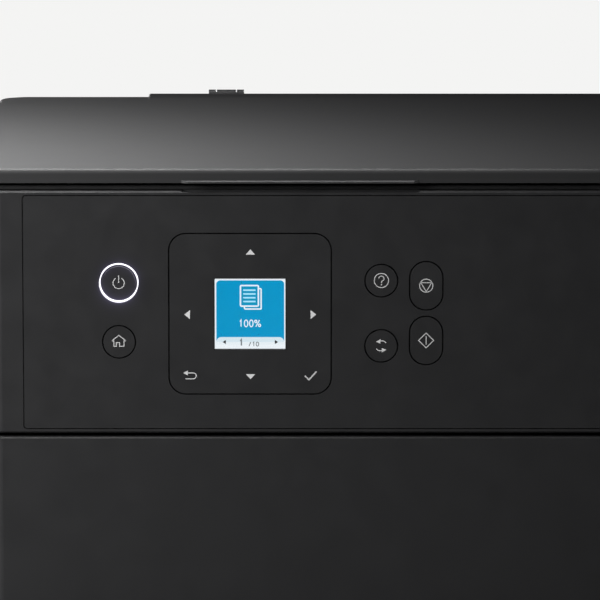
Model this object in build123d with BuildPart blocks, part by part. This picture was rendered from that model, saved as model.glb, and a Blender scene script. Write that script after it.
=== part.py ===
from build123d import *
import os
from math import cos, pi, radians, sin, tan

os.makedirs("parts", exist_ok=True)

# Sizes are in millimetres. X runs to the right, Y to the back and Z up from the middle of the footprint.

# Closed printer
case_width = 375.0
case_depth = 300.0
case_height = 170.0

# Walls, gaps and fits that many pieces share
wall = 2.5
moving_gap = 0.4
seam = 0.35
running_fit = 0.05
edge_bevel = 0.6

# Front faces, set back from the lip of the lid
lid_setback = 1.6
face_setback = 1.0
front_corner = 5.0

# Heights of the front, from the top down
lid_height = 5.2
lid_gap = 1.4
rim_thickness = 1.2
rim_step = 0.6
panel_gap = 0.3
panel_height = 89.3
flap_gap = 1.4
foot_height = 4.0

# Lid and its lip
lid_skin = 2.4
lid_rounding = 1.8
lip_middle = -63.85
lip_length = 86.7
lip_height = 1.0
lip_bevel = 0.45
lip_end_slant = 2.2
pad_lift = 0.3
pad_lap = 1.5
lid_hinge_inset = 1.5
lid_hinge_rise = 2.2
lid_knuckle_radius = 2.2
lid_knuckle_width = 10.0
lid_knuckle_spread = 130.0
lid_pin_radius = 1.1

# Scanner
scanner_height = 43.4
scanner_front_setback = 24.0
scanner_slant = 4.1
split_gap = 0.6
rim_setback = 5.5
rim_side_setback = 1.0
bezel_rear_setback = 1.2
pillar_gap = 1.3
window_width = 298.0
window_margin = 6.5
glass_lap = 3.5
glass_thickness = 2.5
scanner_ear_radius = 3.0
scanner_ear_width = 8.0
scanner_ear_inset = 27.5
scanner_pin_radius = 1.5
scanner_axis_back = 1.0
scanner_axis_drop = 0.6
scan_rod_radius = 3.0
scan_rod_drop = 32.0
scan_bar_width = 18.0
scan_bar_height = 28.0
scan_bar_clearance = 3.0

# Rear paper feeder
feeder_depth = 50.0
feeder_drop = 5.5
feeder_gap = 1.0
slot_width = 250.0
slot_lip = 6.0
feed_lean = 15.0
hinge_strip = 13.0
cover_axis_back = 3.0
cover_knuckle_radius = 1.9
back_plate_thickness = 2.0
cover_thickness = 2.4
cover_pin_radius = 0.9
cover_knuckle_width = 8.0
cover_knuckle_spread = 95.0
cover_lug_width = 3.0
cover_front_gap = 4.8
support_width = 150.0
support_thickness = 1.8
support_length = 104.0
support_rise = 1.5
support_back = 6.5
guide_paper_width = 216.0
guide_thickness = 2.4
guide_depth = 11.0
guide_height = 30.0
guide_foot = 12.0
guide_up = 26.0
pick_radius = 9.0
pick_width = 36.0
pick_shaft_radius = 2.5
pick_back = 13.0
pick_drop = 10.0
pick_lug_spread = 50.0
pick_lug_width = 6.0

# Lower case
pillar_width = 9.1
case_corner = 9.0
floor_setback = 15.0
foot_radius = 9.0
foot_inset = 30.0
rear_cover_width = 220.0
rear_cover_rim_gap = 11.6
rear_cover_bottom = 42.0
rear_grip_width = 40.0
rear_grip_height = 10.0
rear_grip_depth = 1.2

# Control panel
panel_depth = 16.0
panel_wall = 2.6
panel_back_thickness = 2.0
panel_back_raise = 3.0
panel_heel_chamfer = 1.5
panel_pin_radius = 1.8
panel_pin_length = 4.0
panel_pin_inset = 2.5
scoop_depth = 5.0
scoop_drop = 1.8
plate_side_margin = 13.0
plate_margin = 1.8
plate_thickness = 1.2
plate_corner = 1.1
board_thickness = 1.6
board_back_gap = 4.4
board_margin = 9.0
board_post_radius = 3.0

# Buttons, placed by their middle on the front
button_row_drop = 45.2
button_groove = 0.5
button_flange = 1.2
button_travel = 0.8
plunger_radius = 2.0
small_radius = 5.75
power_radius = 6.05
ring_gap = 0.3
ring_thickness = 0.95
left_column = -130.2
right_column = -34.4
power_rise = 11.4
home_drop = 10.3
help_rise = 12.3
swap_drop = 11.8
pill_column = -18.0
pill_width = 11.65
pill_height = 17.35
pill_corner = 5.7
stop_rise = 10.4
start_drop = 9.8
pad_column = -82.3
pad_size = 58.8
pad_corner = 6.0
screen_size = 26.0
screen_gap = 0.2
screen_window_thickness = 1.0

# Output tray
flap_thickness = 3.0
flap_return = 8.0
flap_bottom = 5.0
flap_axis_height = 9.0
flap_knuckle_radius = 2.4
flap_knuckle_width = 8.0
flap_knuckle_spread = 90.0
flap_pin_radius = 1.4
extension_width = 196.0
extension_thickness = 2.0
extension_length = 112.0
tray_side_gap = 2.0
tray_thickness = 2.5
tray_length = 154.0
tray_rail_width = 6.0
tray_wall_height = 7.0
tray_wall = 2.0

# Paper drive
paper_plane = 53.0
feed_radius = 6.0
feed_back = 34.0
shaft_radius = 3.0
roller_end_gap = 5.5
pinch_radius = 4.0
pinch_pin_radius = 1.5
pinch_width = 24.0
pinch_count = 5
star_radius = 4.0
star_pin_radius = 1.2
star_thickness = 1.2
star_points = 12
star_count = 8
star_bar_height = 4.0
star_bar_depth = 12.0
gear_module = 1.0
drive_teeth = 48
idler_teeth = 20
pinion_teeth = 14
gear_width = 4.5
gear_backlash = 0.7
gear_addendum = 0.7
gear_dedendum = 1.1
gear_pressure_angle = 24.0
pinion_angle = 22.5
idler_pin_radius = 2.0
motor_pin_radius = 1.5
feed_motor_radius = 10.0
feed_motor_length = 30.0
platen_depth = 50.0
platen_height = 9.0
platen_gap = 2.0
rib_height = 2.4
rib_thickness = 1.6
rib_count = 9
rib_drop = 0.6

# Print carriage
bracket_side_gap = 20.0
chassis_thickness = 1.5
chassis_back = 77.5
chassis_headroom = 6.2
bracket_front = -46.0
bracket_low = 28.0
bracket_high = 66.0
bracket_foot_front = 30.0
foot_tab_width = 13.0
screw_radius = 1.5
screw_head_radius = 3.0
screw_head_height = 2.0
screw_margin = 7.0
guide_radius = 4.0
guide_back = 40.0
guide_height_up = 80.0
carriage_width = 84.0
carriage_end_gap = 9.5
carriage_front = -24.0
carriage_rear = 52.0
carriage_headroom = 14.2
carriage_wall = 2.0
head_lift = 2.4
head_rear = 22.0
carriage_step = 66.0
cartridge_floor = 70.0
cartridge_count = 5
cartridge_gap = 1.0
cartridge_rise = 4.0
cartridge_rear = 28.0
belt_width = 4.0
belt_thickness = 1.2
belt_back = 56.0
belt_drop = 8.0
pulley_radius = 5.0
pulley_end_gap = 8.5
pulley_gap = 0.3
clamp_width = 16.0
clamp_wall = 2.0
carriage_motor_radius = 13.0
carriage_motor_length = 30.0
cap_width = 70.0
cap_depth = 38.0
cap_bottom = 32.0
cap_gap = 0.5
cap_lip = 2.0
cap_well = 4.0

# Electrics
supply_width = 60.0
supply_gap = 2.5
supply_height = 40.0
supply_side_gap = 17.0
inlet_width = 23.0
inlet_height = 16.0
inlet_depth = 14.0
inlet_up = 26.0
inlet_mouth_width = 16.6
inlet_mouth_height = 8.6
inlet_mouth_depth = 10.0
inlet_pin_radius = 1.2
inlet_pin_spacing = 8.6
usb_width = 14.0
usb_height = 13.0
usb_depth = 16.0
usb_side_gap = 45.0
usb_up = 26.0
usb_mouth_width = 8.6
usb_mouth_height = 7.8
usb_mouth_depth = 9.0
usb_tongue_width = 5.6
usb_tongue_height = 3.0
main_board_length = 110.0
main_board_rim_gap = 15.6
main_board_standoff = 6.0
main_board_front = -60.0
main_board_up = 22.0
chip_size = 18.0
chip_height = 3.0
chip_count = 3
ink_pad_width = 150.0
ink_pad_depth = 28.0
ink_pad_height = 15.0
ink_pad_left = -90.0
ink_pad_back = 112.0

# Places worked out from the sizes
half_width = case_width / 2
inner_half = half_width - wall
inner_corner = case_corner - wall
front = -case_depth / 2
rear = case_depth / 2
lid_front = front + lid_setback
face = front + face_setback
lid_bottom = case_height - lid_height
lid_inside = case_height - lid_skin
rim_top = lid_bottom - lid_gap
rim_bottom = rim_top - rim_thickness
bezel_bottom = rim_bottom - rim_step
scanner_bottom = bezel_bottom - scanner_height
case_rim = scanner_bottom - split_gap
pillar_top = rim_bottom - split_gap
panel_top = rim_bottom - panel_gap
panel_bottom = panel_top - panel_height
flap_top = panel_bottom - flap_gap
floor_top = foot_height + wall
floor_front = front + floor_setback
pillar_inner = half_width - pillar_width
panel_half = pillar_inner - moving_gap

feeder_front = rear - feeder_depth
feeder_top = case_height - feeder_drop
scanner_rear = feeder_front - feeder_gap
scanner_front = front + scanner_front_setback
scanner_front_low = scanner_front + scanner_slant
lid_rear = scanner_rear - seam
rim_front = front + rim_setback
window_back = (scanner_front + scanner_rear) / 2

lid_axis_y = lid_rear - lid_hinge_inset
lid_axis_z = lid_bottom + lid_hinge_rise
scanner_axis_y = feeder_front + scanner_axis_back
scanner_axis_z = bezel_bottom - scanner_axis_drop
panel_axis_y = face + panel_pin_inset
panel_axis_z = panel_top - panel_pin_inset
front_plane = Plane.XZ.offset(-face)
window_depth = scanner_rear - scanner_front - 2 * window_margin
scanner_ear_spread = half_width - scanner_ear_inset
button_row_middle = panel_top - button_row_drop

chassis_half = inner_half - bracket_side_gap
bracket_inner = chassis_half - chassis_thickness
chassis_top = scanner_bottom - chassis_headroom
screw_places = (bracket_foot_front + screw_margin, chassis_back - screw_margin)
screw_x = chassis_half - foot_tab_width / 2
carriage_home = bracket_inner - carriage_end_gap - carriage_width / 2
carriage_top = scanner_bottom - carriage_headroom
belt_height = carriage_top - belt_drop
pulley_spread = bracket_inner - pulley_end_gap

supply_right = inner_half - supply_side_gap
inlet_column = supply_right - supply_width / 2
usb_column = usb_side_gap - inner_half


def block(low, high, mode=Mode.ADD):
    """Put a box into the piece being built, from its low corner to its high corner."""
    size = [b - a for a, b in zip(low, high)]
    middle = [(a + b) / 2 for a, b in zip(low, high)]
    with Locations(tuple(middle)):
        Box(*size, mode=mode)


def hollow(low, high, corner):
    """Cut a room with rounded upright corners out of the piece being built."""
    with BuildSketch(Plane.XY.offset(low[2])) as room:
        with Locations(((low[0] + high[0]) / 2, (low[1] + high[1]) / 2)):
            RectangleRounded(high[0] - low[0], high[1] - low[1], corner)
    extrude(room.sketch, amount=high[2] - low[2], mode=Mode.SUBTRACT)


def bar(start, along, length, radius, mode=Mode.ADD):
    """Put a round bar into the piece being built, from a start point along a direction."""
    with BuildSketch(Plane(origin=start, z_dir=along)) as section:
        Circle(radius)
    extrude(section.sketch, amount=length, mode=mode)


def side_profile(points, left, right, mode=Mode.ADD):
    """Put a straight-edged profile, given as (y, z) points, into the piece from one x to another."""
    with BuildSketch(Plane.YZ.offset(left)) as section:
        with BuildLine():
            Polyline(*points, close=True)
        make_face()
    extrude(section.sketch, amount=right - left, mode=mode)


def save(piece, name):
    """Label a finished piece and write it to its own file."""
    piece.part.label = name
    export_step(piece.part, f"parts/{name}.step")


sides = (-1, 1)
rightward = (1, 0, 0)
backward = (0, 1, 0)
upward = (0, 0, 1)

# Lower case: a tub on four feet with two front pillars, open at the front and the top
rear_cover_half = rear_cover_width / 2
rear_cover_top = case_rim - rear_cover_rim_gap
with BuildPart() as lower_case:
    with BuildSketch(Plane.XY.offset(foot_height)):
        with Locations((0, (lid_front + rear) / 2)):
            RectangleRounded(case_width, rear - lid_front, case_corner)
    extrude(amount=pillar_top - foot_height)
    pillar_back = scanner_front - pillar_gap
    pillar_back_low = scanner_front_low - pillar_gap
    side_profile(
        [(pillar_back, pillar_top), (rear, pillar_top), (rear, case_rim), (pillar_back_low, case_rim)],
        -half_width,
        half_width,
        Mode.SUBTRACT,
    )
    block(
        (-pillar_inner, lid_front, foot_height),
        (pillar_inner, floor_front, pillar_top),
        Mode.SUBTRACT,
    )
    block(
        (-pillar_inner, floor_front, floor_top),
        (pillar_inner, pillar_back_low, pillar_top),
        Mode.SUBTRACT,
    )
    hollow(
        (-inner_half, pillar_back_low, floor_top),
        (inner_half, rear - wall, case_rim),
        inner_corner,
    )
    block(
        (-rear_cover_half - moving_gap, rear - wall, rear_cover_bottom - moving_gap),
        (rear_cover_half + moving_gap, rear, rear_cover_top + moving_gap),
        Mode.SUBTRACT,
    )
    block(
        (inlet_column - inlet_width / 2, rear - wall, inlet_up - inlet_height / 2),
        (inlet_column + inlet_width / 2, rear, inlet_up + inlet_height / 2),
        Mode.SUBTRACT,
    )
    block(
        (usb_column - usb_width / 2, rear - wall, usb_up - usb_height / 2),
        (usb_column + usb_width / 2, rear, usb_up + usb_height / 2),
        Mode.SUBTRACT,
    )
    for side in sides:
        bar(
            (side * (pillar_inner - moving_gap), panel_axis_y, panel_axis_z),
            (side, 0, 0),
            panel_pin_length + moving_gap,
            panel_pin_radius + running_fit,
            Mode.SUBTRACT,
        )
        for place in screw_places:
            bar(
                (side * screw_x, place, foot_height),
                upward,
                wall,
                screw_radius + running_fit,
                Mode.SUBTRACT,
            )
save(lower_case, "lower_case")

with BuildPart() as rubber_feet:
    foot_spread_x = case_width - 2 * foot_inset
    foot_spread_y = case_depth - 2 * foot_inset
    with BuildSketch():
        with GridLocations(foot_spread_x, foot_spread_y, 2, 2):
            Circle(foot_radius)
    extrude(amount=foot_height)
    chamfer(rubber_feet.edges().group_by(Axis.Z)[0], edge_bevel)
save(rubber_feet, "rubber_feet")

with BuildPart() as rear_cover:
    block(
        (-rear_cover_half, rear - wall, rear_cover_bottom),
        (rear_cover_half, rear, rear_cover_top),
    )
    fillet(rear_cover.edges().filter_by(Axis.Y), edge_bevel)
    with BuildSketch(Plane.XZ.offset(-rear)):
        with Locations((0, rear_cover_top - 2 * rear_grip_height)):
            SlotOverall(rear_grip_width, rear_grip_height)
    extrude(amount=rear_grip_depth, mode=Mode.SUBTRACT)
save(rear_cover, "rear_cover")

# Scanner: a tub with a glazed bezel, hinged at the top of its back so that its front lifts
with BuildPart() as scanner_case:
    side_profile(
        [
            (scanner_front_low, scanner_bottom),
            (scanner_rear, scanner_bottom),
            (scanner_rear, bezel_bottom),
            (scanner_front, bezel_bottom),
        ],
        -half_width,
        half_width,
    )
    side_profile(
        [
            (scanner_front_low + wall, scanner_bottom + wall),
            (scanner_rear - wall, scanner_bottom + wall),
            (scanner_rear - wall, bezel_bottom),
            (scanner_front + wall, bezel_bottom),
        ],
        -inner_half,
        inner_half,
        Mode.SUBTRACT,
    )
    for side in sides:
        ear_left = side * scanner_ear_spread - scanner_ear_width / 2
        block(
            (ear_left, scanner_rear - wall, scanner_axis_z - scanner_ear_radius),
            (ear_left + scanner_ear_width, scanner_axis_y, scanner_axis_z),
        )
        bar((ear_left, scanner_axis_y, scanner_axis_z), rightward, scanner_ear_width, scanner_ear_radius)
        bar(
            (ear_left, scanner_axis_y, scanner_axis_z),
            rightward,
            scanner_ear_width,
            scanner_pin_radius + running_fit,
            Mode.SUBTRACT,
        )
save(scanner_case, "scanner_case")

bezel_rear = scanner_rear - bezel_rear_setback
with BuildPart() as scanner_bezel:
    with BuildSketch(Plane.XY.offset(rim_bottom)):
        with Locations((0, (rim_front + bezel_rear) / 2)):
            RectangleRounded(case_width - 2 * rim_side_setback, bezel_rear - rim_front, case_corner / 2)
    extrude(amount=rim_thickness)
    block(
        (-half_width + rim_side_setback, scanner_front, bezel_bottom),
        (half_width - rim_side_setback, bezel_rear, rim_bottom),
    )
    block(
        (-window_width / 2, window_back - window_depth / 2, bezel_bottom),
        (window_width / 2, window_back + window_depth / 2, rim_top),
        Mode.SUBTRACT,
    )
    for side in sides:
        knuckle_left = side * lid_knuckle_spread - lid_knuckle_width / 2
        block(
            (knuckle_left, lid_axis_y - lid_knuckle_radius, bezel_bottom),
            (knuckle_left + lid_knuckle_width, lid_axis_y, lid_axis_z),
        )
        bar((knuckle_left, lid_axis_y, lid_axis_z), rightward, lid_knuckle_width, lid_knuckle_radius)
        bar(
            (knuckle_left, lid_axis_y, lid_axis_z),
            rightward,
            lid_knuckle_width,
            lid_pin_radius + running_fit,
            Mode.SUBTRACT,
        )
save(scanner_bezel, "scanner_bezel")

with BuildPart() as scanner_glass:
    block(
        (
            -window_width / 2 - glass_lap,
            window_back - window_depth / 2 - glass_lap,
            bezel_bottom - glass_thickness,
        ),
        (window_width / 2 + glass_lap, window_back + window_depth / 2 + glass_lap, bezel_bottom),
    )
save(scanner_glass, "scanner_glass")

scan_rod_z = bezel_bottom - scan_rod_drop
with BuildPart() as scan_rod:
    bar((-inner_half, window_back, scan_rod_z), rightward, 2 * inner_half, scan_rod_radius)
save(scan_rod, "scan_rod")

scan_bar_top = bezel_bottom - glass_thickness - scan_bar_clearance
scan_home = -inner_half + scan_bar_width
with BuildPart() as scan_carriage:
    block(
        (
            scan_home - scan_bar_width / 2,
            scanner_front + wall + 2 * scan_bar_clearance,
            scan_bar_top - scan_bar_height / 2,
        ),
        (
            scan_home + scan_bar_width / 2,
            scanner_rear - wall - 2 * scan_bar_clearance,
            scan_bar_top,
        ),
    )
    block(
        (scan_home - scan_bar_width / 2, window_back - scan_bar_width, scan_rod_z - 2 * scan_rod_radius),
        (scan_home + scan_bar_width / 2, window_back + scan_bar_width, scan_bar_top),
    )
    bar(
        (scan_home - scan_bar_width / 2, window_back, scan_rod_z),
        rightward,
        scan_bar_width,
        scan_rod_radius + running_fit,
        Mode.SUBTRACT,
    )
save(scan_carriage, "scan_carriage")

# Lid with its finger lip and foam mat
with BuildPart() as lid:
    with BuildSketch(Plane.XY.offset(lid_bottom)):
        with Locations((0, (lid_front + lid_rear) / 2)):
            RectangleRounded(case_width, lid_rear - lid_front, case_corner)
    extrude(amount=lid_height)
    fillet(lid.faces().sort_by(Axis.Z)[-1].edges(), lid_rounding)
    hollow(
        (-inner_half, lid_front + wall, lid_bottom),
        (inner_half, lid_rear - wall, lid_inside),
        inner_corner,
    )
    for side in sides:
        notch_half = lid_knuckle_width / 2 + moving_gap
        block(
            (
                side * lid_knuckle_spread - notch_half,
                lid_axis_y - lid_knuckle_radius - split_gap,
                lid_bottom,
            ),
            (side * lid_knuckle_spread + notch_half, lid_rear, case_height),
            Mode.SUBTRACT,
        )
        bar(
            (side * lid_knuckle_spread - notch_half - wall, lid_axis_y, lid_axis_z),
            rightward,
            2 * (notch_half + wall),
            lid_pin_radius,
        )
    lip_profiles = []
    for place, height in (
        (lid_front, lip_height),
        (front + lip_bevel, lip_height),
        (front, lip_height - lip_bevel),
    ):
        narrowing = 2 * lip_end_slant * (lid_front - place) / lid_setback
        with BuildSketch(Plane.XZ.offset(-place), mode=Mode.PRIVATE) as lip_profile:
            with Locations((lip_middle, lid_bottom)):
                Rectangle(lip_length - narrowing, height, align=(Align.CENTER, Align.MIN))
        lip_profiles.append(lip_profile.sketch)
    loft(lip_profiles, ruled=True)
save(lid, "lid")

pad_bottom = rim_top + pad_lift
with BuildPart() as lid_pad:
    block(
        (-window_width / 2 - pad_lap, window_back - window_depth / 2 - pad_lap, pad_bottom),
        (window_width / 2 + pad_lap, window_back + window_depth / 2 + pad_lap, lid_inside),
    )
    fillet(lid_pad.edges().filter_by(Axis.Z), pad_lap)
save(lid_pad, "lid_pad")

# Rear feeder: a housing with a leaning paper chute, a cover, a paper support and two edge guides
slot_front = feeder_front + slot_lip
slot_rear = rear - hinge_strip
slot_half = slot_width / 2
skin_bottom = feeder_top - wall
lean = tan(radians(feed_lean))
plate_foot = slot_rear - (skin_bottom - case_rim) * lean
plate_run = back_plate_thickness / cos(radians(feed_lean))
lean_normal = (0, -cos(radians(feed_lean)), sin(radians(feed_lean)))
cover_axis_y = slot_rear + cover_axis_back
cover_axis_z = feeder_top + moving_gap + cover_knuckle_radius
support_half = support_width / 2
support_top = feeder_top + support_rise
support_plane = Plane(
    origin=(0, slot_rear + support_back, support_top), x_dir=rightward, z_dir=lean_normal
)
guide_z = case_rim + guide_up
guide_plane = Plane(
    origin=(0, slot_rear - (skin_bottom - guide_z) * lean, guide_z), x_dir=rightward, z_dir=lean_normal
).offset(moving_gap)
pick_y = feeder_front + pick_back
pick_z = case_rim - pick_drop
pick_lug_margin = pick_shaft_radius + wall

with BuildPart() as feeder_housing:
    with BuildSketch(Plane.XY.offset(case_rim)) as feeder_outline:
        with Locations((0, (feeder_front + rear) / 2)):
            Rectangle(case_width, feeder_depth)
        fillet(feeder_outline.vertices().group_by(Axis.Y)[-1], case_corner)
    extrude(amount=feeder_top - case_rim)
    hollow(
        (-inner_half, feeder_front + wall, case_rim),
        (inner_half, rear - wall, skin_bottom),
        inner_corner,
    )
    block((-slot_half, slot_front, skin_bottom), (slot_half, slot_rear, feeder_top), Mode.SUBTRACT)
    side_profile(
        [
            (slot_rear, skin_bottom),
            (slot_rear + plate_run, skin_bottom),
            (plate_foot + plate_run, case_rim),
            (plate_foot, case_rim),
        ],
        -slot_half,
        slot_half,
    )
    for side in sides:
        cheek = sorted((side * slot_half, side * (slot_half + wall)))
        block((cheek[0], feeder_front + wall, case_rim), (cheek[1], rear - wall, skin_bottom))
        rail = sorted((side * (support_half + moving_gap), side * (support_half + moving_gap + wall)))
        block((rail[0], slot_rear + plate_run, case_rim), (rail[1], rear - wall, skin_bottom))
        ear_half = scanner_ear_width / 2 + moving_gap
        ear_reach = scanner_ear_radius + moving_gap
        block(
            (side * scanner_ear_spread - ear_half, feeder_front, scanner_axis_z - ear_reach),
            (side * scanner_ear_spread + ear_half, scanner_axis_y + ear_reach, feeder_top),
            Mode.SUBTRACT,
        )
        bar(
            (side * scanner_ear_spread - ear_half - wall, scanner_axis_y, scanner_axis_z),
            rightward,
            2 * (ear_half + wall),
            scanner_pin_radius,
        )
        knuckle_half = cover_knuckle_width / 2 + moving_gap
        knuckle_middle = side * cover_knuckle_spread
        for lug_left in (knuckle_middle - knuckle_half - cover_lug_width, knuckle_middle + knuckle_half):
            block(
                (lug_left, cover_axis_y - cover_knuckle_radius, feeder_top),
                (lug_left + cover_lug_width, cover_axis_y + cover_knuckle_radius, cover_axis_z),
            )
            bar((lug_left, cover_axis_y, cover_axis_z), rightward, cover_lug_width, cover_knuckle_radius)
        bar(
            (knuckle_middle - knuckle_half, cover_axis_y, cover_axis_z),
            rightward,
            2 * knuckle_half,
            cover_pin_radius,
        )
        pick_lug_left = side * pick_lug_spread - pick_lug_width / 2
        block(
            (pick_lug_left, feeder_front, pick_z - pick_lug_margin),
            (pick_lug_left + pick_lug_width, pick_y + pick_lug_margin, case_rim + wall),
        )
        bar(
            (pick_lug_left, pick_y, pick_z),
            rightward,
            pick_lug_width,
            pick_shaft_radius + running_fit,
            Mode.SUBTRACT,
        )
    with BuildSketch(support_plane.offset(moving_gap)):
        Rectangle(support_width + 2 * moving_gap, 4 * wall)
    extrude(amount=-support_thickness - 2 * moving_gap, mode=Mode.SUBTRACT)
save(feeder_housing, "feeder_housing")

cover_bottom = feeder_top + moving_gap
cover_top = cover_bottom + cover_thickness
cover_rear = cover_axis_y - cover_knuckle_radius - moving_gap
with BuildPart() as feeder_cover:
    block(
        (-slot_half - wall, feeder_front + cover_front_gap, cover_bottom),
        (slot_half + wall, cover_rear, cover_top),
    )
    chamfer(feeder_cover.faces().sort_by(Axis.Z)[-1].edges(), edge_bevel)
    for side in sides:
        knuckle_left = side * cover_knuckle_spread - cover_knuckle_width / 2
        block(
            (knuckle_left, cover_rear - wall, cover_bottom),
            (knuckle_left + cover_knuckle_width, cover_axis_y, cover_top - edge_bevel),
        )
        bar(
            (knuckle_left, cover_axis_y, cover_axis_z),
            rightward,
            cover_knuckle_width,
            cover_knuckle_radius,
        )
        bar(
            (knuckle_left, cover_axis_y, cover_axis_z),
            rightward,
            cover_knuckle_width,
            cover_pin_radius + running_fit,
            Mode.SUBTRACT,
        )
save(feeder_cover, "feeder_cover")

with BuildPart() as paper_support:
    with BuildSketch(support_plane):
        RectangleRounded(support_width, support_length, wall, align=(Align.CENTER, Align.MAX))
    extrude(amount=-support_thickness)
save(paper_support, "paper_support")

for side, name in zip(sides, ("edge_guide_left", "edge_guide_right")):
    with BuildPart() as edge_guide:
        with BuildSketch(guide_plane):
            with Locations((side * (guide_paper_width + guide_thickness) / 2, 0)):
                Rectangle(guide_thickness, guide_height)
        extrude(amount=guide_depth)
        with BuildSketch(guide_plane):
            with Locations((side * (guide_paper_width + guide_foot) / 2, 0)):
                Rectangle(guide_foot, guide_height)
        extrude(amount=guide_thickness)
    save(edge_guide, name)

with BuildPart() as pick_roller:
    bar((-pick_width / 2, pick_y, pick_z), rightward, pick_width, pick_radius)
    shaft_half = pick_lug_spread + pick_lug_width
    bar((-shaft_half, pick_y, pick_z), rightward, 2 * shaft_half, pick_shaft_radius)
save(pick_roller, "pick_roller")

# Control panel: a shell that hangs from two pins near its top and tilts out at the bottom
panel_middle = (panel_bottom + panel_top) / 2
panel_rear = face + panel_depth
housing_rear = panel_rear - panel_back_thickness
board_back = housing_rear - board_back_gap
board_front = board_back - board_thickness
flange_front = face + panel_wall + moving_gap
plunger_end = board_front - button_travel - moving_gap
ring_inner = power_radius + ring_gap
ring_outer = ring_inner + ring_thickness

round_buttons = {
    "power_button": (left_column, button_row_middle + power_rise, power_radius),
    "home_button": (left_column, button_row_middle - home_drop, small_radius),
    "help_button": (right_column, button_row_middle + help_rise, small_radius),
    "swap_button": (right_column, button_row_middle - swap_drop, small_radius),
}
pill_buttons = {
    "stop_button": (pill_column, button_row_middle + stop_rise),
    "start_button": (pill_column, button_row_middle - start_drop),
}


def button_openings(mode=Mode.ADD):
    """Draw the opening of every button, with the groove around it, in the sketch being built."""
    for name, (x, z, radius) in round_buttons.items():
        opening = ring_outer + running_fit if name == "power_button" else radius + button_groove
        with Locations((x, z)):
            Circle(opening, mode=mode)
    grow = 2 * button_groove
    for x, z in pill_buttons.values():
        with Locations((x, z)):
            RectangleRounded(pill_width + grow, pill_height + grow, pill_corner + button_groove, mode=mode)
    with Locations((pad_column, button_row_middle)):
        RectangleRounded(pad_size + grow, pad_size + grow, pad_corner + button_groove, mode=mode)


plate_width = 2 * (panel_half - plate_side_margin)
plate_height = panel_height - 2 * plate_margin
with BuildPart() as panel_housing:
    with BuildSketch(Plane.XY.offset(panel_bottom)) as panel_outline:
        with Locations((0, (face + housing_rear) / 2)):
            Rectangle(2 * panel_half, housing_rear - face)
        fillet(panel_outline.vertices().group_by(Axis.Y)[0], front_corner)
    extrude(amount=panel_height)
    for end_face in (panel_housing.faces().sort_by(Axis.Z)[0], panel_housing.faces().sort_by(Axis.Z)[-1]):
        chamfer(end_face.edges().sort_by(Axis.Y)[:-1], edge_bevel)
    heel = panel_housing.edges().filter_by(Axis.X).group_by(Axis.Y)[-1].sort_by(Axis.Z)[0]
    chamfer(heel, panel_heel_chamfer)
    block(
        (-panel_half + panel_wall, face + panel_wall, panel_bottom + panel_wall),
        (panel_half - panel_wall, housing_rear, panel_top - panel_wall),
        Mode.SUBTRACT,
    )
    with BuildSketch(front_plane):
        with Locations((0, panel_middle)):
            RectangleRounded(plate_width + 2 * seam, plate_height + 2 * seam, plate_corner + seam)
    extrude(amount=-plate_thickness, mode=Mode.SUBTRACT)
    with BuildSketch(front_plane):
        button_openings()
    extrude(amount=-panel_wall, mode=Mode.SUBTRACT)
    side_profile(
        [
            (face, panel_top - edge_bevel / 2),
            (face + scoop_depth, panel_top - edge_bevel - scoop_drop),
            (face + scoop_depth, panel_top),
            (face, panel_top),
        ],
        lip_middle - lip_length / 2,
        lip_middle + lip_length / 2,
        Mode.SUBTRACT,
    )
    for side in sides:
        bar(
            (side * (panel_half - panel_wall), panel_axis_y, panel_axis_z),
            (side, 0, 0),
            panel_wall + panel_pin_length,
            panel_pin_radius,
        )
save(panel_housing, "panel_housing")

with BuildPart() as face_plate:
    with BuildSketch(front_plane):
        with Locations((0, panel_middle)):
            RectangleRounded(plate_width, plate_height, plate_corner)
        button_openings(Mode.SUBTRACT)
    extrude(amount=-plate_thickness)
save(face_plate, "face_plate")

board_left = left_column - ring_outer - board_margin
board_right = pill_column + pill_width / 2 + board_margin
board_half = pad_size / 2
with BuildPart() as panel_board:
    block(
        (board_left, board_front, button_row_middle - board_half),
        (board_right, board_back, button_row_middle + board_half),
    )
save(panel_board, "panel_board")

with BuildPart() as panel_back_cover:
    block(
        (-panel_half, housing_rear, panel_bottom + panel_back_raise),
        (panel_half, panel_rear, panel_top),
    )
    post_inset = 2 * board_post_radius
    for post_x in (board_left + post_inset, board_right - post_inset):
        for post_z in (-board_half + post_inset, board_half - post_inset):
            bar(
                (post_x, board_back, button_row_middle + post_z),
                backward,
                board_back_gap,
                board_post_radius,
            )
save(panel_back_cover, "panel_back_cover")

with BuildPart() as lcd_window:
    with BuildSketch(front_plane):
        with Locations((pad_column, button_row_middle)):
            Rectangle(screen_size, screen_size)
    extrude(amount=-screen_window_thickness)
save(lcd_window, "lcd_window")

with BuildPart() as lcd_module:
    block(
        (pad_column - screen_size / 2, face + screen_window_thickness, button_row_middle - screen_size / 2),
        (pad_column + screen_size / 2, board_front, button_row_middle + screen_size / 2),
    )
save(lcd_module, "lcd_module")

with BuildPart() as power_light_ring:
    with BuildSketch(front_plane):
        with Locations(round_buttons["power_button"][:2]):
            Circle(ring_outer)
            Circle(ring_inner, mode=Mode.SUBTRACT)
    extrude(amount=-panel_wall)
save(power_light_ring, "power_light_ring")

# Push buttons: a cap flush with the face, a flange behind the wall and a plunger towards the board
flange_plane = Plane.XZ.offset(-flange_front)
cap_length = panel_wall + moving_gap + button_flange
for name, (x, z, radius) in round_buttons.items():
    with BuildPart() as button:
        bar((x, face, z), backward, cap_length, radius)
        bar((x, flange_front, z), backward, button_flange, radius + 2 * button_groove)
        bar((x, flange_front, z), backward, plunger_end - flange_front, plunger_radius)
    save(button, name)

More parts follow.
